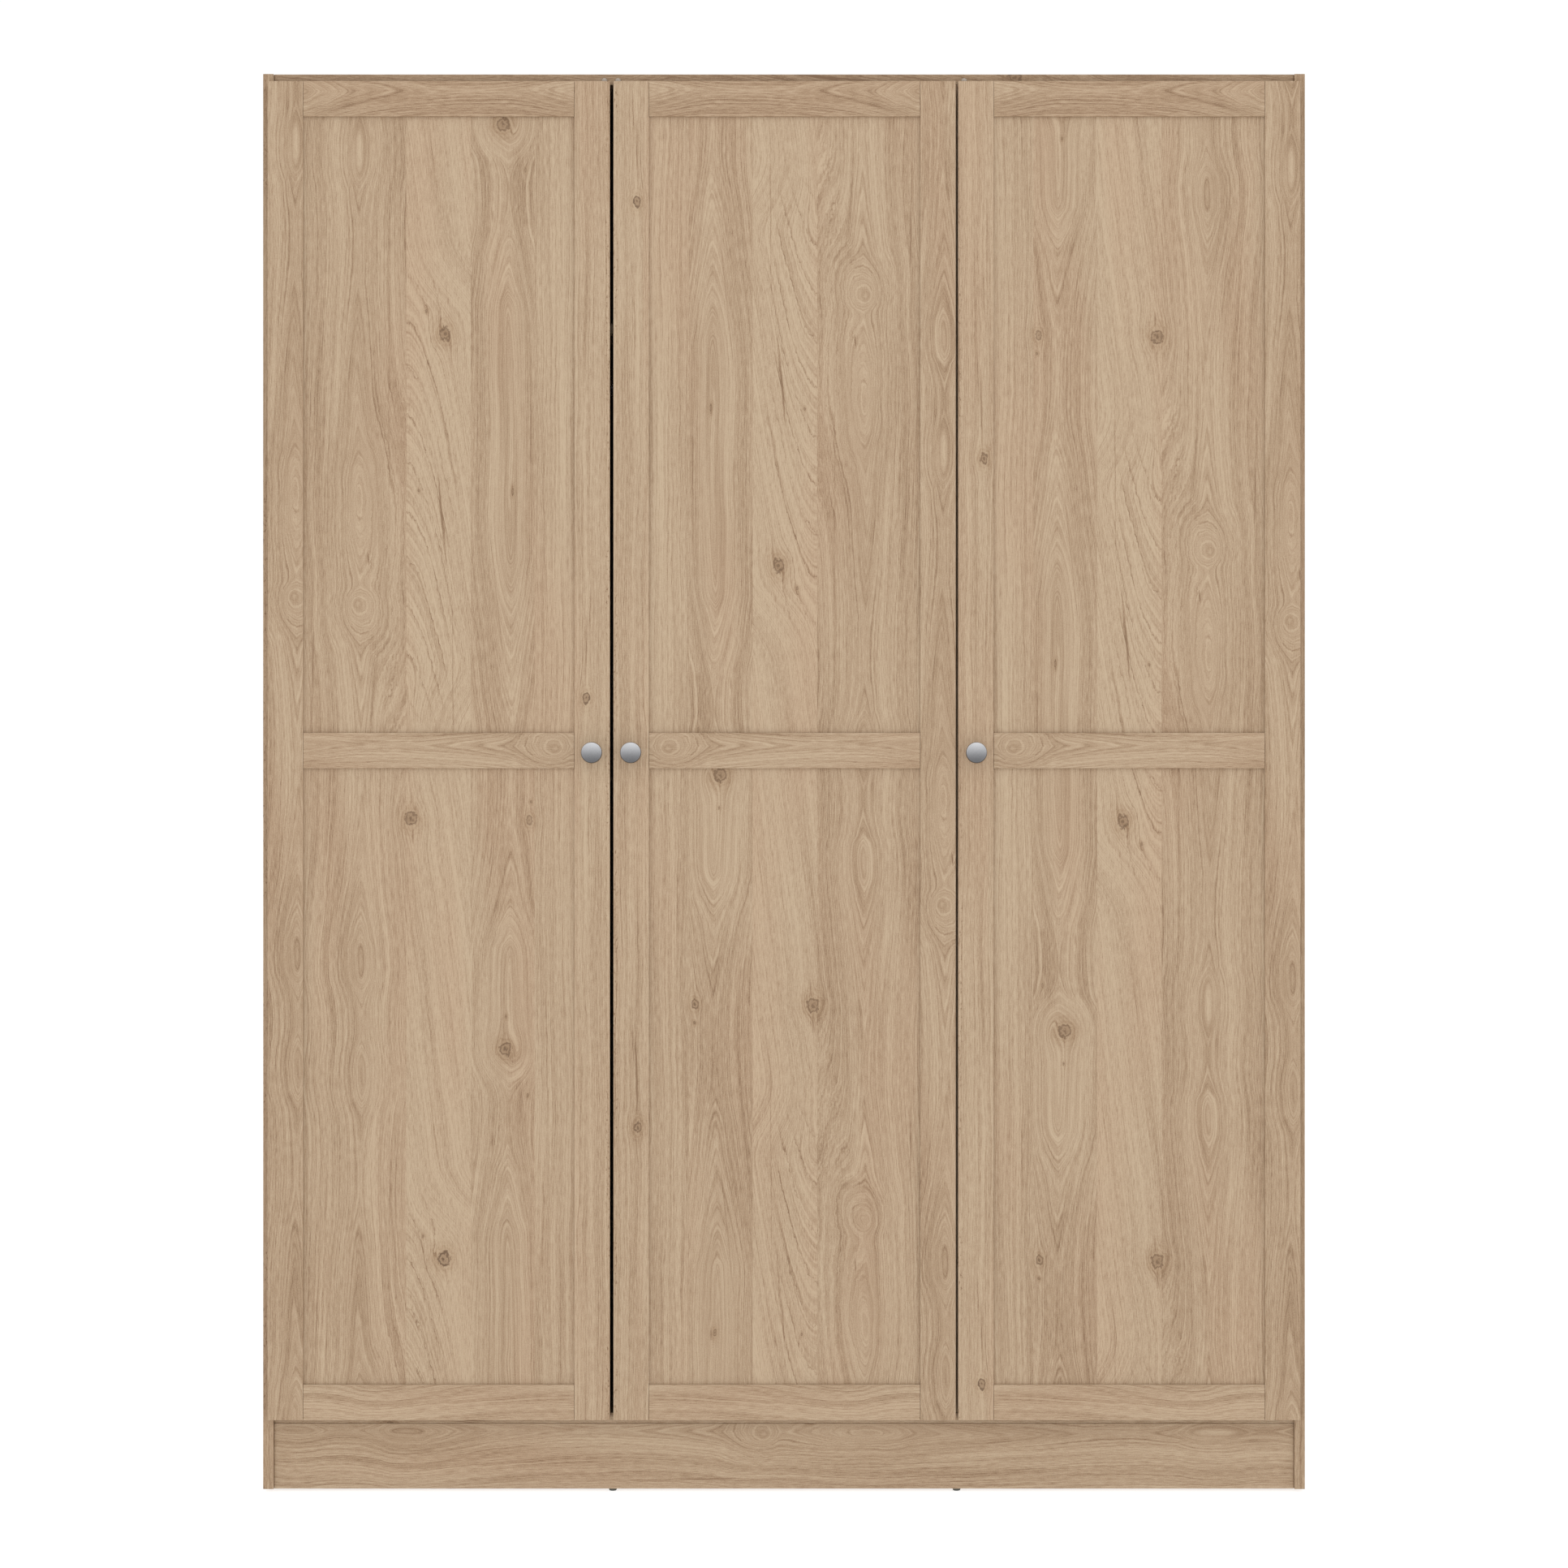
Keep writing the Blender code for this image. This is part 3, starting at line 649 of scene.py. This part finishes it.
def speckled(name, low, high, scale, gloss, metal=0.0, bump=0.0, stretch=(1.0, 1.0, 1.0), specular=0.5):
    """A plain material with a fine grain between two colours and two roughnesses."""
    material = bpy.data.materials.new(name)
    net, shader = shading(material)
    place = net.put("Mapping")
    preset(place, Scale=stretch)
    net.feed(place.inputs["Vector"], net.where())
    grain = net.speckle(place.outputs[0], scale, 4.0)
    net.feed(shader.inputs["Base Color"], net.mix(net.step(grain, 0.3, 0.7), low, high))
    net.feed(shader.inputs["Roughness"], net.step(grain, 0.3, 0.7, *gloss))
    preset(shader, Metallic=metal, Specular_IOR_Level=specular)
    if bump:
        relief = net.put("Bump")
        preset(relief, Strength=bump, Distance=0.0003)
        net.feed(relief.inputs["Height"], grain)
        net.feed(shader.inputs["Normal"], relief.outputs["Normal"])
    return material


ZINC = speckled("bright_zinc", linear(188, 190, 194), linear(206, 207, 210), 240.0, (0.22, 0.36), 1.0)
RAIL = speckled(
    "rail_chrome", linear(196, 198, 202), linear(210, 211, 214), 60.0, (0.16, 0.24), 1.0,
    stretch=(0.1, 8.0, 8.0),
)
DARK_PLASTIC = speckled("dark_plastic", linear(84, 86, 82), linear(96, 98, 93), 1800.0, (0.45, 0.6), bump=0.1)
TAN_PLASTIC = speckled(
    "tan_plastic", linear(176, 152, 126), linear(186, 161, 134), 1500.0, (0.40, 0.5), bump=0.1
)
# the clear plastic's wood-brown colour is painted light: the wood seen through the bumpers, painted into
# their colour
CLEAR = speckled(
    "clear_plastic", linear(166, 150, 133), linear(184, 170, 154), 700.0, (0.06, 0.12), specular=1.0
)
preset(shading(CLEAR)[1], Transmission_Weight=0.2)


# ---- meshes

def add_piece(name, mesh, material, body, stands_for=()):
    """Links a mesh as a piece that rides on a body."""
    piece = bpy.data.objects.new(name, mesh)
    bpy.context.scene.collection.objects.link(piece)
    mesh.materials.append(material)
    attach(piece, body)
    if stands_for:
        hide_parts(*stands_for)
    return piece


def rounded_box(low, high, radius):
    """A box mesh in the row frame with every edge rounded."""
    shape = bmesh.new()
    bmesh.ops.create_cube(shape, size=1.0)
    size, middle = high - low, (high + low) / 2
    for vert in shape.verts:
        vert.co = Vector(c * s + m for c, s, m in zip(vert.co, size, middle))
    bmesh.ops.bevel(
        shape, geom=shape.edges[:], offset=radius, segments=3, profile=0.5, affect='EDGES', clamp_overlap=True
    )
    for face in shape.faces:
        face.smooth = True
    return shape


def finished(shape, name):
    """Turns a bmesh into a mesh whose faces point outwards, and frees it."""
    mesh = bpy.data.meshes.new(name)
    bmesh.ops.recalc_face_normals(shape, faces=shape.faces[:])
    shape.to_mesh(mesh)
    shape.free()
    return mesh


def weight_normals(piece):
    """Keeps large faces flat between their rounded edges."""
    weighted = piece.modifiers.new("flat_faces", 'WEIGHTED_NORMAL')
    weighted.keep_sharp = True
    return piece


def body_of(node):
    return frame["nodes"][node]["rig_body"]


def tool(shape):
    """A temporary object for cutting."""
    item = bpy.data.objects.new("tool", finished(shape, "tool"))
    bpy.context.scene.collection.objects.link(item)
    return item


def box_tool(low, high):
    shape = bmesh.new()
    bmesh.ops.create_cube(shape, size=1.0)
    for vert in shape.verts:
        vert.co = Vector((h if c > 0 else l) for c, l, h in zip(vert.co, low, high))
    return tool(shape)


def cut(piece, cutters, operation='DIFFERENCE'):
    """Cuts temporary tools out of the piece, or joins them on, and leaves the result in its mesh."""
    for index, cutter in enumerate(cutters):
        boolean = piece.modifiers.new(f"cut_{index}", 'BOOLEAN')
        boolean.operation = operation
        boolean.solver = 'EXACT'
        boolean.object = cutter
    graph = bpy.context.evaluated_depsgraph_get()
    result = bpy.data.meshes.new_from_object(piece.evaluated_get(graph))
    piece.modifiers.clear()
    piece.data = result
    for cutter in cutters:
        bpy.data.objects.remove(cutter)


def board(node, material, radius=BOARD_ROUND, cutters=()):
    """A rounded board in a CAD board's place, with grooves and bores cut from it."""
    low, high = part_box(node)
    mesh = finished(rounded_box(low, high, radius), node + "_face")
    piece = add_piece(node + "_face", mesh, material, body_of(node), (node,))
    if cutters:
        cut(piece, cutters)
    return weight_normals(piece)


def lathe(profile, origin, axis, segments=64, ring=False, oval=(1.0, 1.0)):
    """A closed body turned from (radius, height) points about an axis; a ring's profile is a loop."""
    shape = bmesh.new()
    turn = Vector((0, 0, 1)).rotation_difference(Vector(axis)).to_matrix()
    rings = []
    for radius, height in profile:
        if radius < 1e-7:
            rings.append([shape.verts.new(Vector((0, 0, height)))])
            continue
        wide, deep = radius * oval[0], radius * oval[1]
        angles = (2 * math.pi * step / segments for step in range(segments))
        rings.append([shape.verts.new((wide * math.cos(a), deep * math.sin(a), height)) for a in angles])
    if ring:
        rings.append(rings[0])
    for lower, upper in zip(rings, rings[1:]):
        for step in range(segments):
            after = (step + 1) % segments
            corners = [lower[step % len(lower)], lower[after % len(lower)],
                       upper[after % len(upper)], upper[step % len(upper)]]
            shape.faces.new(list(dict.fromkeys(corners)))
    for face in shape.faces:
        face.smooth = True
    bmesh.ops.transform(shape, matrix=Matrix.Translation(origin) @ turn.to_4x4(), verts=shape.verts[:])
    return shape


# ---- case

def rebate(side):
    """The recess for the back sheet along a side panel's inner rear edge."""
    sheet_low, sheet_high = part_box(f"back_panel_{side}")
    low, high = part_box(f"side_panel_{side}")
    left = sheet_low.x - PLAY if side == "left" else low.x - CUT_OVER
    right = high.x + CUT_OVER if side == "left" else sheet_high.x + PLAY
    bottom, top = low.z - CUT_OVER, high.z + CUT_OVER
    return [box_tool((left, sheet_low.y - PLAY, bottom), (right, high.y + CUT_OVER, top))]


def case_boards():
    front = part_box("side_panel_left")[0].y
    for index, name in enumerate(("side_panel_left", "side_panel_right", "divider_panel")):
        start = (UPRIGHT_STEP[0] * index - front - 0.02, UPRIGHT_STEP[1] * index)
        look = decor(name + "_decor", start=start, tone=TONES["upright"], **UPRIGHT)
        board(name, look, cutters=rebate(name.split("_")[-1]) if name.startswith("side") else ())
    for index, name in enumerate(("top_panel", "bottom_panel") + SHELVES):
        start = (LEVEL_STEP[0] * index - front, LEVEL_STEP[1] * index)
        board(name, decor(name + "_decor", start=start, tone=TONES.get(name, TONES["level"]), **LEVEL))
    swirl_across, swirl_along = EYES[0][:2]
    start = (swirl_across - PLINTH_SWIRL[1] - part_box("plinth_front")[0].y, swirl_along - PLINTH_SWIRL[0])
    board("plinth_front", decor("plinth_front_decor", start=start, tone=TONES["plinth"], **LEVEL))
    for index, name in enumerate(("plinth_support_centre", "plinth_support_divider")):
        board(name, decor(name + "_decor", start=(0.05, SUPPORT_STEP * index), **UPRIGHT))


def back_sheets():
    for name in ("back_panel_left", "back_panel_right"):
        piece = board(name, back_material(name + "_face"), THIN_ROUND)
        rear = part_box(name)[1].y
        for vert in piece.data.vertices:
            if vert.co.y > rear - THIN_ROUND * 1.1:
                vert.co.y -= NAIL_RISE


def back_material(name):
    """Hardboard with the decor printed on its inner face and raw brown outside."""
    material = decor(name, (1.0, 0.0, 0.0), (0.0, 0.0, 1.0), start=BACK_START)
    net, shader = shading(material)
    outside = net.step(net.dot(net.where("Normal"), (0.0, 1.0, 0.0)), -0.5, -0.4)
    grain = net.speckle(net.where(), 380.0, 5.0)
    mottle = net.speckle(net.where(), 7.0)
    raw = net.mix(net.step(grain, 0.3, 0.7), linear(124, 94, 66), linear(152, 119, 86))
    raw = net.mix(net.step(mottle, 0.3, 0.7, 0.0, 0.35), raw, linear(134, 101, 70))
    paint_over(net, shader, outside, raw)
    return material


# ---- doors

def panel_decor(door):
    """Decor of a door's panel: all three are cut from one print, the right two the other way up."""
    low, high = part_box(f"door_{door}_panel")
    middle = (low.x + high.x) / 2
    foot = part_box("plinth_front")[0].z
    if door == "left":
        return decor("left_panel_decor", start=(-middle - low.y, -foot), **UPRIGHT)
    top = 2 * centre_of(f"door_{door}_rail_middle").z - foot + PANEL_START[door]
    return decor(f"{door}_panel_decor", (-1.0, 1.0, 0.0), (0.0, 0.0, -1.0), (middle - low.y, top))


def centre_of(node):
    low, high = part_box(node)
    return (low + high) / 2


def hinge_side(door):
    """+1 where the door lies to the right of its hinges, or -1."""
    return 1.0 if door == "left" else -1.0


def hinge_heights(door):
    return [centre_of(f"hinge_link_{door}_{level}").z for level in LEVELS]


def cup_centre(door, height):
    """Centre of a hinge cup on the door's back face."""
    low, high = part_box(f"door_{door}_stile_hinge")
    edge = low.x if hinge_side(door) > 0 else high.x
    return Vector((edge + hinge_side(door) * CUP_INSET, high.y, height))


def groove(door):
    """The tool for the groove that holds a door's panel, a little larger than the panel."""
    low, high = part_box(f"door_{door}_panel")
    gap = Vector((PLAY, PLAY, PLAY))
    return box_tool(low - gap, high + gap)


def cup_bores(door):
    """Tools for the three blind bores of a door's hinge cups."""
    profile = ((0, -BORE_DEPTH), (BORE_RADIUS, -BORE_DEPTH), (BORE_RADIUS, 0.002), (0, 0.002))
    return [tool(lathe(profile, cup_centre(door, height), (0, 1, 0))) for height in hinge_heights(door)]


def doors():
    for door in DOORS:
        side = hinge_side(door)
        board(f"door_{door}_panel", panel_decor(door), THIN_ROUND)

        hinge = centre_of(f"door_{door}_stile_hinge")
        across, along = HINGE_STILE_START[door]
        start = (across - hinge.x - hinge.y, along)
        look = decor(f"{door}_hinge_decor", start=start, tone=TONES["hinge_stile"], **UPRIGHT)
        board(f"door_{door}_stile_hinge", look, DOOR_ROUND, [groove(door)] + cup_bores(door))

        free = centre_of(f"door_{door}_stile_knob")
        start = (KNOB_STILE_ACROSS - side * free.x - free.y, KNOB_STILE_START[door])
        look = decor(f"{door}_free_decor", (side, 1.0, 0.0), (0.0, 0.0, 1.0), start, TONES["knob_stile"])
        board(f"door_{door}_stile_knob", look, DOOR_ROUND, [groove(door)])

        for level, (across, swirl, tone) in RAIL_PRINT.items():
            rail = centre_of(f"door_{door}_rail_{level}")
            start = (across - rail.z - rail.y, EYES[0][1] - side * (rail.x + side * swirl))
            look = decor(f"{door}_{level}_decor", (0.0, 1.0, 1.0), (side, 0.0, 0.0), start, tone)
            cutters = () if level == "middle" else [groove(door)]
            board(f"door_{door}_rail_{level}", look, DOOR_ROUND, cutters)


# ---- knobs

def knob_material(door, middle, radius):
    """Satin steel, with painted shade and a painted reflection of the door in a dark band round the turned
    edge.
    """
    low, high = linear(196, 197, 200), linear(206, 206, 207)
    material = speckled(f"satin_steel_{door}", low, high, 900.0, (0.30, 0.36), 1.0)
    net, shader = shading(material)
    side = net.sub(net.dot(net.where(), (1.0, 0.0, 0.0)), middle.x)
    rise = net.sub(net.dot(net.where(), (0.0, 0.0, 1.0)), middle.z)
    out = net.math('SQRT', net.add(net.mul(side, side), net.mul(rise, rise)))
    # painted shade and painted reflection of the door: a brown-grey band darkens the knob's rim
    edge = net.step(out, radius - KNOB_SHADE_REFLECTION_BAND, radius - KNOB_SHADE_REFLECTION_BAND / 2, 0.0, 1.0)
    paint_over(net, shader, edge, linear(128, 118, 108))
    return material


def knob_profile(radius, reach):
    """A knob's outline from the middle of its face to the middle of its foot."""
    face = radius - KNOB_LIP - KNOB_EDGE
    shoulder = reach - KNOB_DOME - KNOB_EDGE
    base = shoulder - KNOB_TAPER
    back = base - KNOB_EDGE
    under = reach - KNOB_HEAD
    reveal = radius - KNOB_EDGE * 1.3 - KNOB_NECK
    dome = [(face * s / 12, reach - KNOB_DOME * (s / 12) ** 2) for s in range(13)]
    edge = [(face + KNOB_EDGE * math.cos(a), shoulder + KNOB_EDGE * math.sin(a))
            for a in (math.radians(90 - 15 * s) for s in range(1, 6))]
    rim = [(radius - KNOB_EDGE * (1 - math.cos(a)), base + KNOB_EDGE * math.sin(a))
           for a in (math.radians(15 - 15 * s) for s in range(8))]
    throat = [(KNOB_NECK + reveal * (1 - s / 8) ** 2, under + (back - under) * (1 - s / 8)) for s in range(9)]
    foot = [(KNOB_NECK, 0.0035), (KNOB_NECK + 0.0004, 0.0022), (KNOB_FOOT - 0.0003, 0.0016),
            (KNOB_FOOT, 0.0012), (KNOB_FOOT, 0.0), (0.0, 0.0)]
    return dome + edge + rim + throat + foot


def knobs():
    for door in DOORS:
        node = f"door_{door}_knob"
        low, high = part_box(node)
        middle = centre_of(node)
        radius = (high.x - low.x) / 2
        shape = lathe(knob_profile(radius, high.y - low.y), (middle.x, high.y, middle.z), (0, -1, 0), 96)
        mesh = finished(shape, node + "_turned")
        look = knob_material(door, middle, radius)
        add_piece(node + "_turned", mesh, look, body_of(node), (node,))


# ---- small fittings

def copy_of(template, name, matrix, material, body):
    """One more piece of a template mesh, placed by a matrix in the row frame."""
    mesh = template.copy()
    mesh.transform(matrix)
    if matrix.determinant() < 0:
        mesh.flip_normals()
    mesh.materials.clear()
    return add_piece(name, mesh, material, body)


def taken(piece):
    """The mesh of a temporary piece, which is then removed."""
    mesh = piece.data
    bpy.data.objects.remove(piece)
    return mesh


def screw_template():
    """A domed cross-head of radius 1 and height 1 along Z, scaled where it is used."""
    rim = [(0.0, 0.0), (0.96, 0.0), (1.0, 0.12), (1.0, 0.38)]
    dome = [(math.cos(a), 0.38 + 0.62 * math.sin(a))
            for a in (math.radians(12 * step) for step in range(1, 8))]
    head = tool(lathe(rim + dome + [(0.0, 1.0)], (0, 0, 0), (0, 0, 1), 40))
    slots = [
        box_tool((-0.52, -0.11, 0.45), (0.52, 0.11, 1.5)),
        box_tool((-0.11, -0.52, 0.45), (0.11, 0.52, 1.5)),
    ]
    cut(head, slots)
    return taken(head)


def screw(kind, label, place, axis, body="carcass", roll=0.4):
    """A cross-head that stands along an axis and is turned about itself by a roll."""
    radius, height = SCREWS[kind]
    turn = Vector((0, 0, 1)).rotation_difference(Vector(axis)).to_matrix().to_4x4()
    size = Matrix.Diagonal((radius, radius, height, 1.0))
    stand = Matrix.Translation(place) @ turn @ Matrix.Rotation(roll, 4, 'Z') @ size
    copy_of(SCREW_HEAD, f"{kind}_screw_{label}", stand, ZINC, body)


def turned_piece(name, profile, place, axis, material, slot="hinge_metal", **shape):
    """A turned piece on the case."""
    return add_piece(name, finished(lathe(profile, place, axis, **shape), name), material, "carcass")


def cup_template():
    """A hinge cup about its own centre on the door's back face: bowl towards -Y, reach towards +X."""
    bowl = tool(lathe(
        ((0.0, -CUP_DEPTH), (CUP_RADIUS - 0.002, -CUP_DEPTH), (CUP_RADIUS - 0.0006, -CUP_DEPTH + 0.0006),
         (CUP_RADIUS, -CUP_DEPTH + 0.002), (CUP_RADIUS, 0.0002), (CUP_RIM, 0.0002), (CUP_RIM, 0.0006),
         (CUP_RIM - 0.0003, 0.0009), (0.0, 0.0009)),
        (0, 0, 0), (0, 1, 0), 72,
    ))
    flange = tool(rounded_box(*CUP_FLANGE, 0.0004))
    cut(bowl, [flange], 'UNION')
    inside = CUP_RADIUS - CUP_WALL
    hollow = ((0.0, -CUP_DEPTH + CUP_WALL), (inside - 0.002, -CUP_DEPTH + CUP_WALL),
              (inside, -CUP_DEPTH + CUP_WALL + 0.002), (inside, 0.01), (0.0, 0.01))
    cut(bowl, [tool(lathe(hollow, (0, 0, 0), (0, 1, 0), 72))])
    return taken(bowl)


def hinge_fittings():
    """Cups with their pins and screws on the doors, and the screws of the arms on the case."""
    cup = cup_template()
    pin = finished(lathe(CUP_PIN, (0, 0, 0), (0, 0, 1), 24), "pin")
    for door in DOORS:
        side = hinge_side(door)
        body = f"door_{door}"
        inward = (side, 0.0, 0.0)
        for level, height in zip(LEVELS, hinge_heights(door)):
            label = f"{door}_{level}"
            middle = cup_centre(door, height)
            stand = Matrix.Translation(middle) @ Matrix.Diagonal((side, 1.0, 1.0, 1.0))
            weight_normals(copy_of(cup, f"cup_{label}", stand, ZINC, body))
            pivot = middle - Vector((0.0, PIVOT_DEPTH, 0.0))
            copy_of(pin, f"cup_pin_{label}", Matrix.Translation(pivot), ZINC, body)
            for index, lift in enumerate((-CUP_SCREWS[1], CUP_SCREWS[1])):
                place = middle + Vector((side * CUP_SCREWS[0], CUP_FLANGE[1].y - 0.0001, lift))
                screw("cup", f"{label}_{index}", place, (0, 1, 0), body, roll=index)
            arm_low, arm_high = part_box(f"hinge_arm_{label}")
            top = arm_high.x if side > 0 else arm_low.x
            for index, back in enumerate(ARM_SCREWS):
                place = Vector((top, middle.y + back, height))
                screw("arm", f"{label}_{index}", place, inward, roll=index + 0.3)
            wing = middle.x - side * (CUP_INSET - PLATE_TOP)
            for index, lift in enumerate((-PLATE_SCREWS[1], PLATE_SCREWS[1])):
                place = Vector((wing, middle.y + PLATE_SCREWS[0], height + lift))
                screw("plate", f"{label}_{index}", place, inward, roll=index)


def bumpers():
    """Small clear domes on the top panel's front edge, which the doors close on."""
    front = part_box("top_panel")[0].y
    stile_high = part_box("door_left_stile_knob")[1]
    deep = front - stile_high.y - PLAY
    dome = [(BUMPER_RADIUS * math.cos(a), deep * (BUMPER_SHANK + (1 - BUMPER_SHANK) * math.sin(a)))
            for a in (math.radians(10 * step) for step in range(1, 9))]
    profile = [(0.0, 0.0), (BUMPER_RADIUS, 0.0), (BUMPER_RADIUS, deep * BUMPER_SHANK), *dome, (0.0, deep)]
    for door, inset in BUMPER_INSETS.items():
        low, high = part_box(f"door_{door}_stile_knob")
        x = high.x - inset if door == "left" else low.x + inset
        place = (x, front, stile_high.z + BUMPER_LIFT)
        turned_piece(f"bumper_{door}", profile, place, (0, -1, 0), CLEAR, "glide_plastic", segments=32)


def knob_screws():
    """A screw behind each knob, on the door's back face."""
    for door in DOORS:
        place = centre_of(f"door_{door}_knob")
        place.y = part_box(f"door_{door}_stile_knob")[1].y
        screw("knob", door, place, (0, 1, 0), f"door_{door}")


def rail_sockets():
    """An oval socket with two screws at each end of the clothes rail."""
    low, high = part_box("clothes_rail")
    middle = (low + high) / 2
    half = ((high.z - low.z) / 2 + PLAY, (high.y - low.y) / 2 + PLAY)
    for side, x, inward in (("left", low.x - SOCKET_PLAY, 1.0), ("right", high.x + SOCKET_PLAY, -1.0)):
        place, axis = (x, middle.y, middle.z), (inward, 0, 0)
        weight_normals(turned_piece(f"rail_socket_{side}", SOCKET, place, axis, ZINC, ring=True, oval=half))
        for index, lift in enumerate((-SOCKET_SCREW, SOCKET_SCREW)):
            place = Vector((x + inward * 0.0021, middle.y, middle.z + lift))
            screw("rail", f"{side}_{index}", place, (inward, 0, 0), roll=index)


def shelf_pins():
    """Four short steel pins under each shelf."""
    for name in SHELVES:
        low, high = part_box(name)
        ends = ((low.x - PLAY, 1.0), (high.x + PLAY, -1.0))
        for index, (x, inward) in enumerate(ends):
            for row, y in enumerate((low.y + PIN_FRONT, high.y - PIN_REAR)):
                place = (x, y, low.z - PIN_DROP)
                turned_piece(f"{name}_pin_{index}_{row}", SHELF_PIN, place, (inward, 0, 0), ZINC, segments=24)


def cam_covers():
    """Round plastic covers over the cam fittings under the top panel and on the divider."""
    top_low, top_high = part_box("top_panel")
    rows = (top_low.y + CAM_FRONT, top_high.y - CAM_REAR)
    places = []
    for x in (top_low.x + CAM_END, top_high.x - CAM_END):
        places += [((x, y, top_low.z), (0, 0, -1)) for y in rows]
    low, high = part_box("divider_panel")
    for z in (low.z + CAM_END, high.z - CAM_END):
        places += [((high.x, y, z), (1, 0, 0)) for y in rows]
    for index, (place, axis) in enumerate(places):
        turned_piece(f"cam_cover_{index}", CAM_COVER, place, axis, TAN_PLASTIC, "wood_decor", segments=40)


def back_nails():
    """Flat-headed nails along the edges of each back sheet, one piece for each sheet."""
    high_row, low_row = centre_of("top_panel").z, centre_of("bottom_panel").z
    for side in ("left", "right"):
        low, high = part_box(f"back_panel_{side}")
        width, height = high.x - low.x, high_row - low_row
        columns = round(width / NAIL_PITCH)
        rows = round(height / NAIL_PITCH)
        places = [(low.x + NAIL_INSET + (width - 2 * NAIL_INSET) * step / columns, z)
                  for z in (high_row, low_row) for step in range(columns + 1)]
        places += [(x, low_row + height * step / rows)
                   for x in (low.x + NAIL_INSET, high.x - NAIL_INSET) for step in range(1, rows)]
        shape = bmesh.new()
        for x, z in places:
            nail = finished(lathe(NAIL, (x, high.y - NAIL_RISE, z), (0, 1, 0), 16), "nail")
            shape.from_mesh(nail)
            bpy.data.meshes.remove(nail)
        add_piece(f"back_nails_{side}", finished(shape, f"back_nails_{side}"), ZINC, "carcass")


def rear_glides():
    """Glides at the rear of the plinth supports, a touch clear of the floor."""
    for name in ("centre", "divider"):
        low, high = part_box(f"plinth_support_{name}")
        place = ((low.x + high.x) / 2, high.y - GLIDE_INSET, 0.0)
        weight_normals(turned_piece(
            f"glide_rear_{name}", REAR_GLIDE, place, (0, 0, 1), DARK_PLASTIC, "glide_plastic", segments=40
        ))


# ---- fittings that stay

def plain_nodes():
    """CAD pieces whose shape is right keep it and get a finer material."""
    finishes = {"hinge_": ZINC, "clothes_rail": RAIL, "glide_": DARK_PLASTIC}
    for name, node in frame["nodes"].items():
        for start, material in finishes.items():
            if name.startswith(start):
                node.data.materials.clear()
                node.data.materials.append(material)


# ---- studio

def room():
    """White for the camera and for diffuse light, and a soft room, darker below, for reflections."""
    world = bpy.data.worlds.new("studio")
    bpy.context.scene.world = world
    world.use_nodes = True
    net = Net(world.node_tree)
    up = net.dot(net.where("Generated"), (0.0, 0.0, 1.0))
    reflected = net.ramp(
        net.step(up, -0.5, 0.5, smooth=False),
        ((0.0, (0.16, 0.16, 0.16, 1)), (0.42, (0.36, 0.36, 0.37, 1)), (0.6, (0.72, 0.72, 0.73, 1)),
         (1.0, (1.25, 1.25, 1.25, 1))),
    )
    sky = net.mix(net.put("LightPath").outputs["Is Glossy Ray"], (1.02, 1.02, 1.02, 1), reflected)
    net.feed(world.node_tree.nodes["Background"].inputs["Color"], sky)


def pale_floor():
    shape = bmesh.new()
    bmesh.ops.create_grid(shape, x_segments=1, y_segments=1, size=120.0)
    floor = bpy.data.objects.new("floor", finished(shape, "floor"))
    bpy.context.scene.collection.objects.link(floor)
    material = bpy.data.materials.new("floor_white")
    shader = shading(material)[1]
    preset(shader, Base_Color=(0.45, 0.45, 0.45, 1), Roughness=0.9)
    preset(shader, Emission_Color=(1, 1, 1, 1), Emission_Strength=0.76)
    floor.data.materials.append(material)
    floor.visible_glossy = False


def key_light():
    light = bpy.data.lights.new("key", 'AREA')
    light.shape = 'RECTANGLE'
    light.size, light.size_y = 3.5, 2.2
    light.energy = 8.0
    lamp = bpy.data.objects.new("key", light)
    place, target = Vector((1.2, -4.5, 4.2)), Vector((0.0, 0.0, 1.1))
    lamp.location = place
    lamp.rotation_euler = (target - place).to_track_quat('-Z', 'Y').to_euler()
    bpy.context.scene.collection.objects.link(lamp)


def camera():
    lens = bpy.data.cameras.new("camera")
    lens.lens = 97.72
    lens.sensor_width = 36.0
    view = bpy.data.objects.new("camera", lens)
    view.location = (0.0, -6.278, 1.001)
    view.rotation_euler = (math.radians(90), 0.0, 0.0)
    bpy.context.scene.collection.objects.link(view)
    bpy.context.scene.camera = view


case_boards()
back_sheets()
doors()
knobs()
SCREW_HEAD = screw_template()
hinge_fittings()
bumpers()
knob_screws()
rail_sockets()
shelf_pins()
cam_covers()
back_nails()
rear_glides()
plain_nodes()
bpy.context.scene.view_settings.view_transform = 'Standard'
room()
pale_floor()
key_light()
camera()
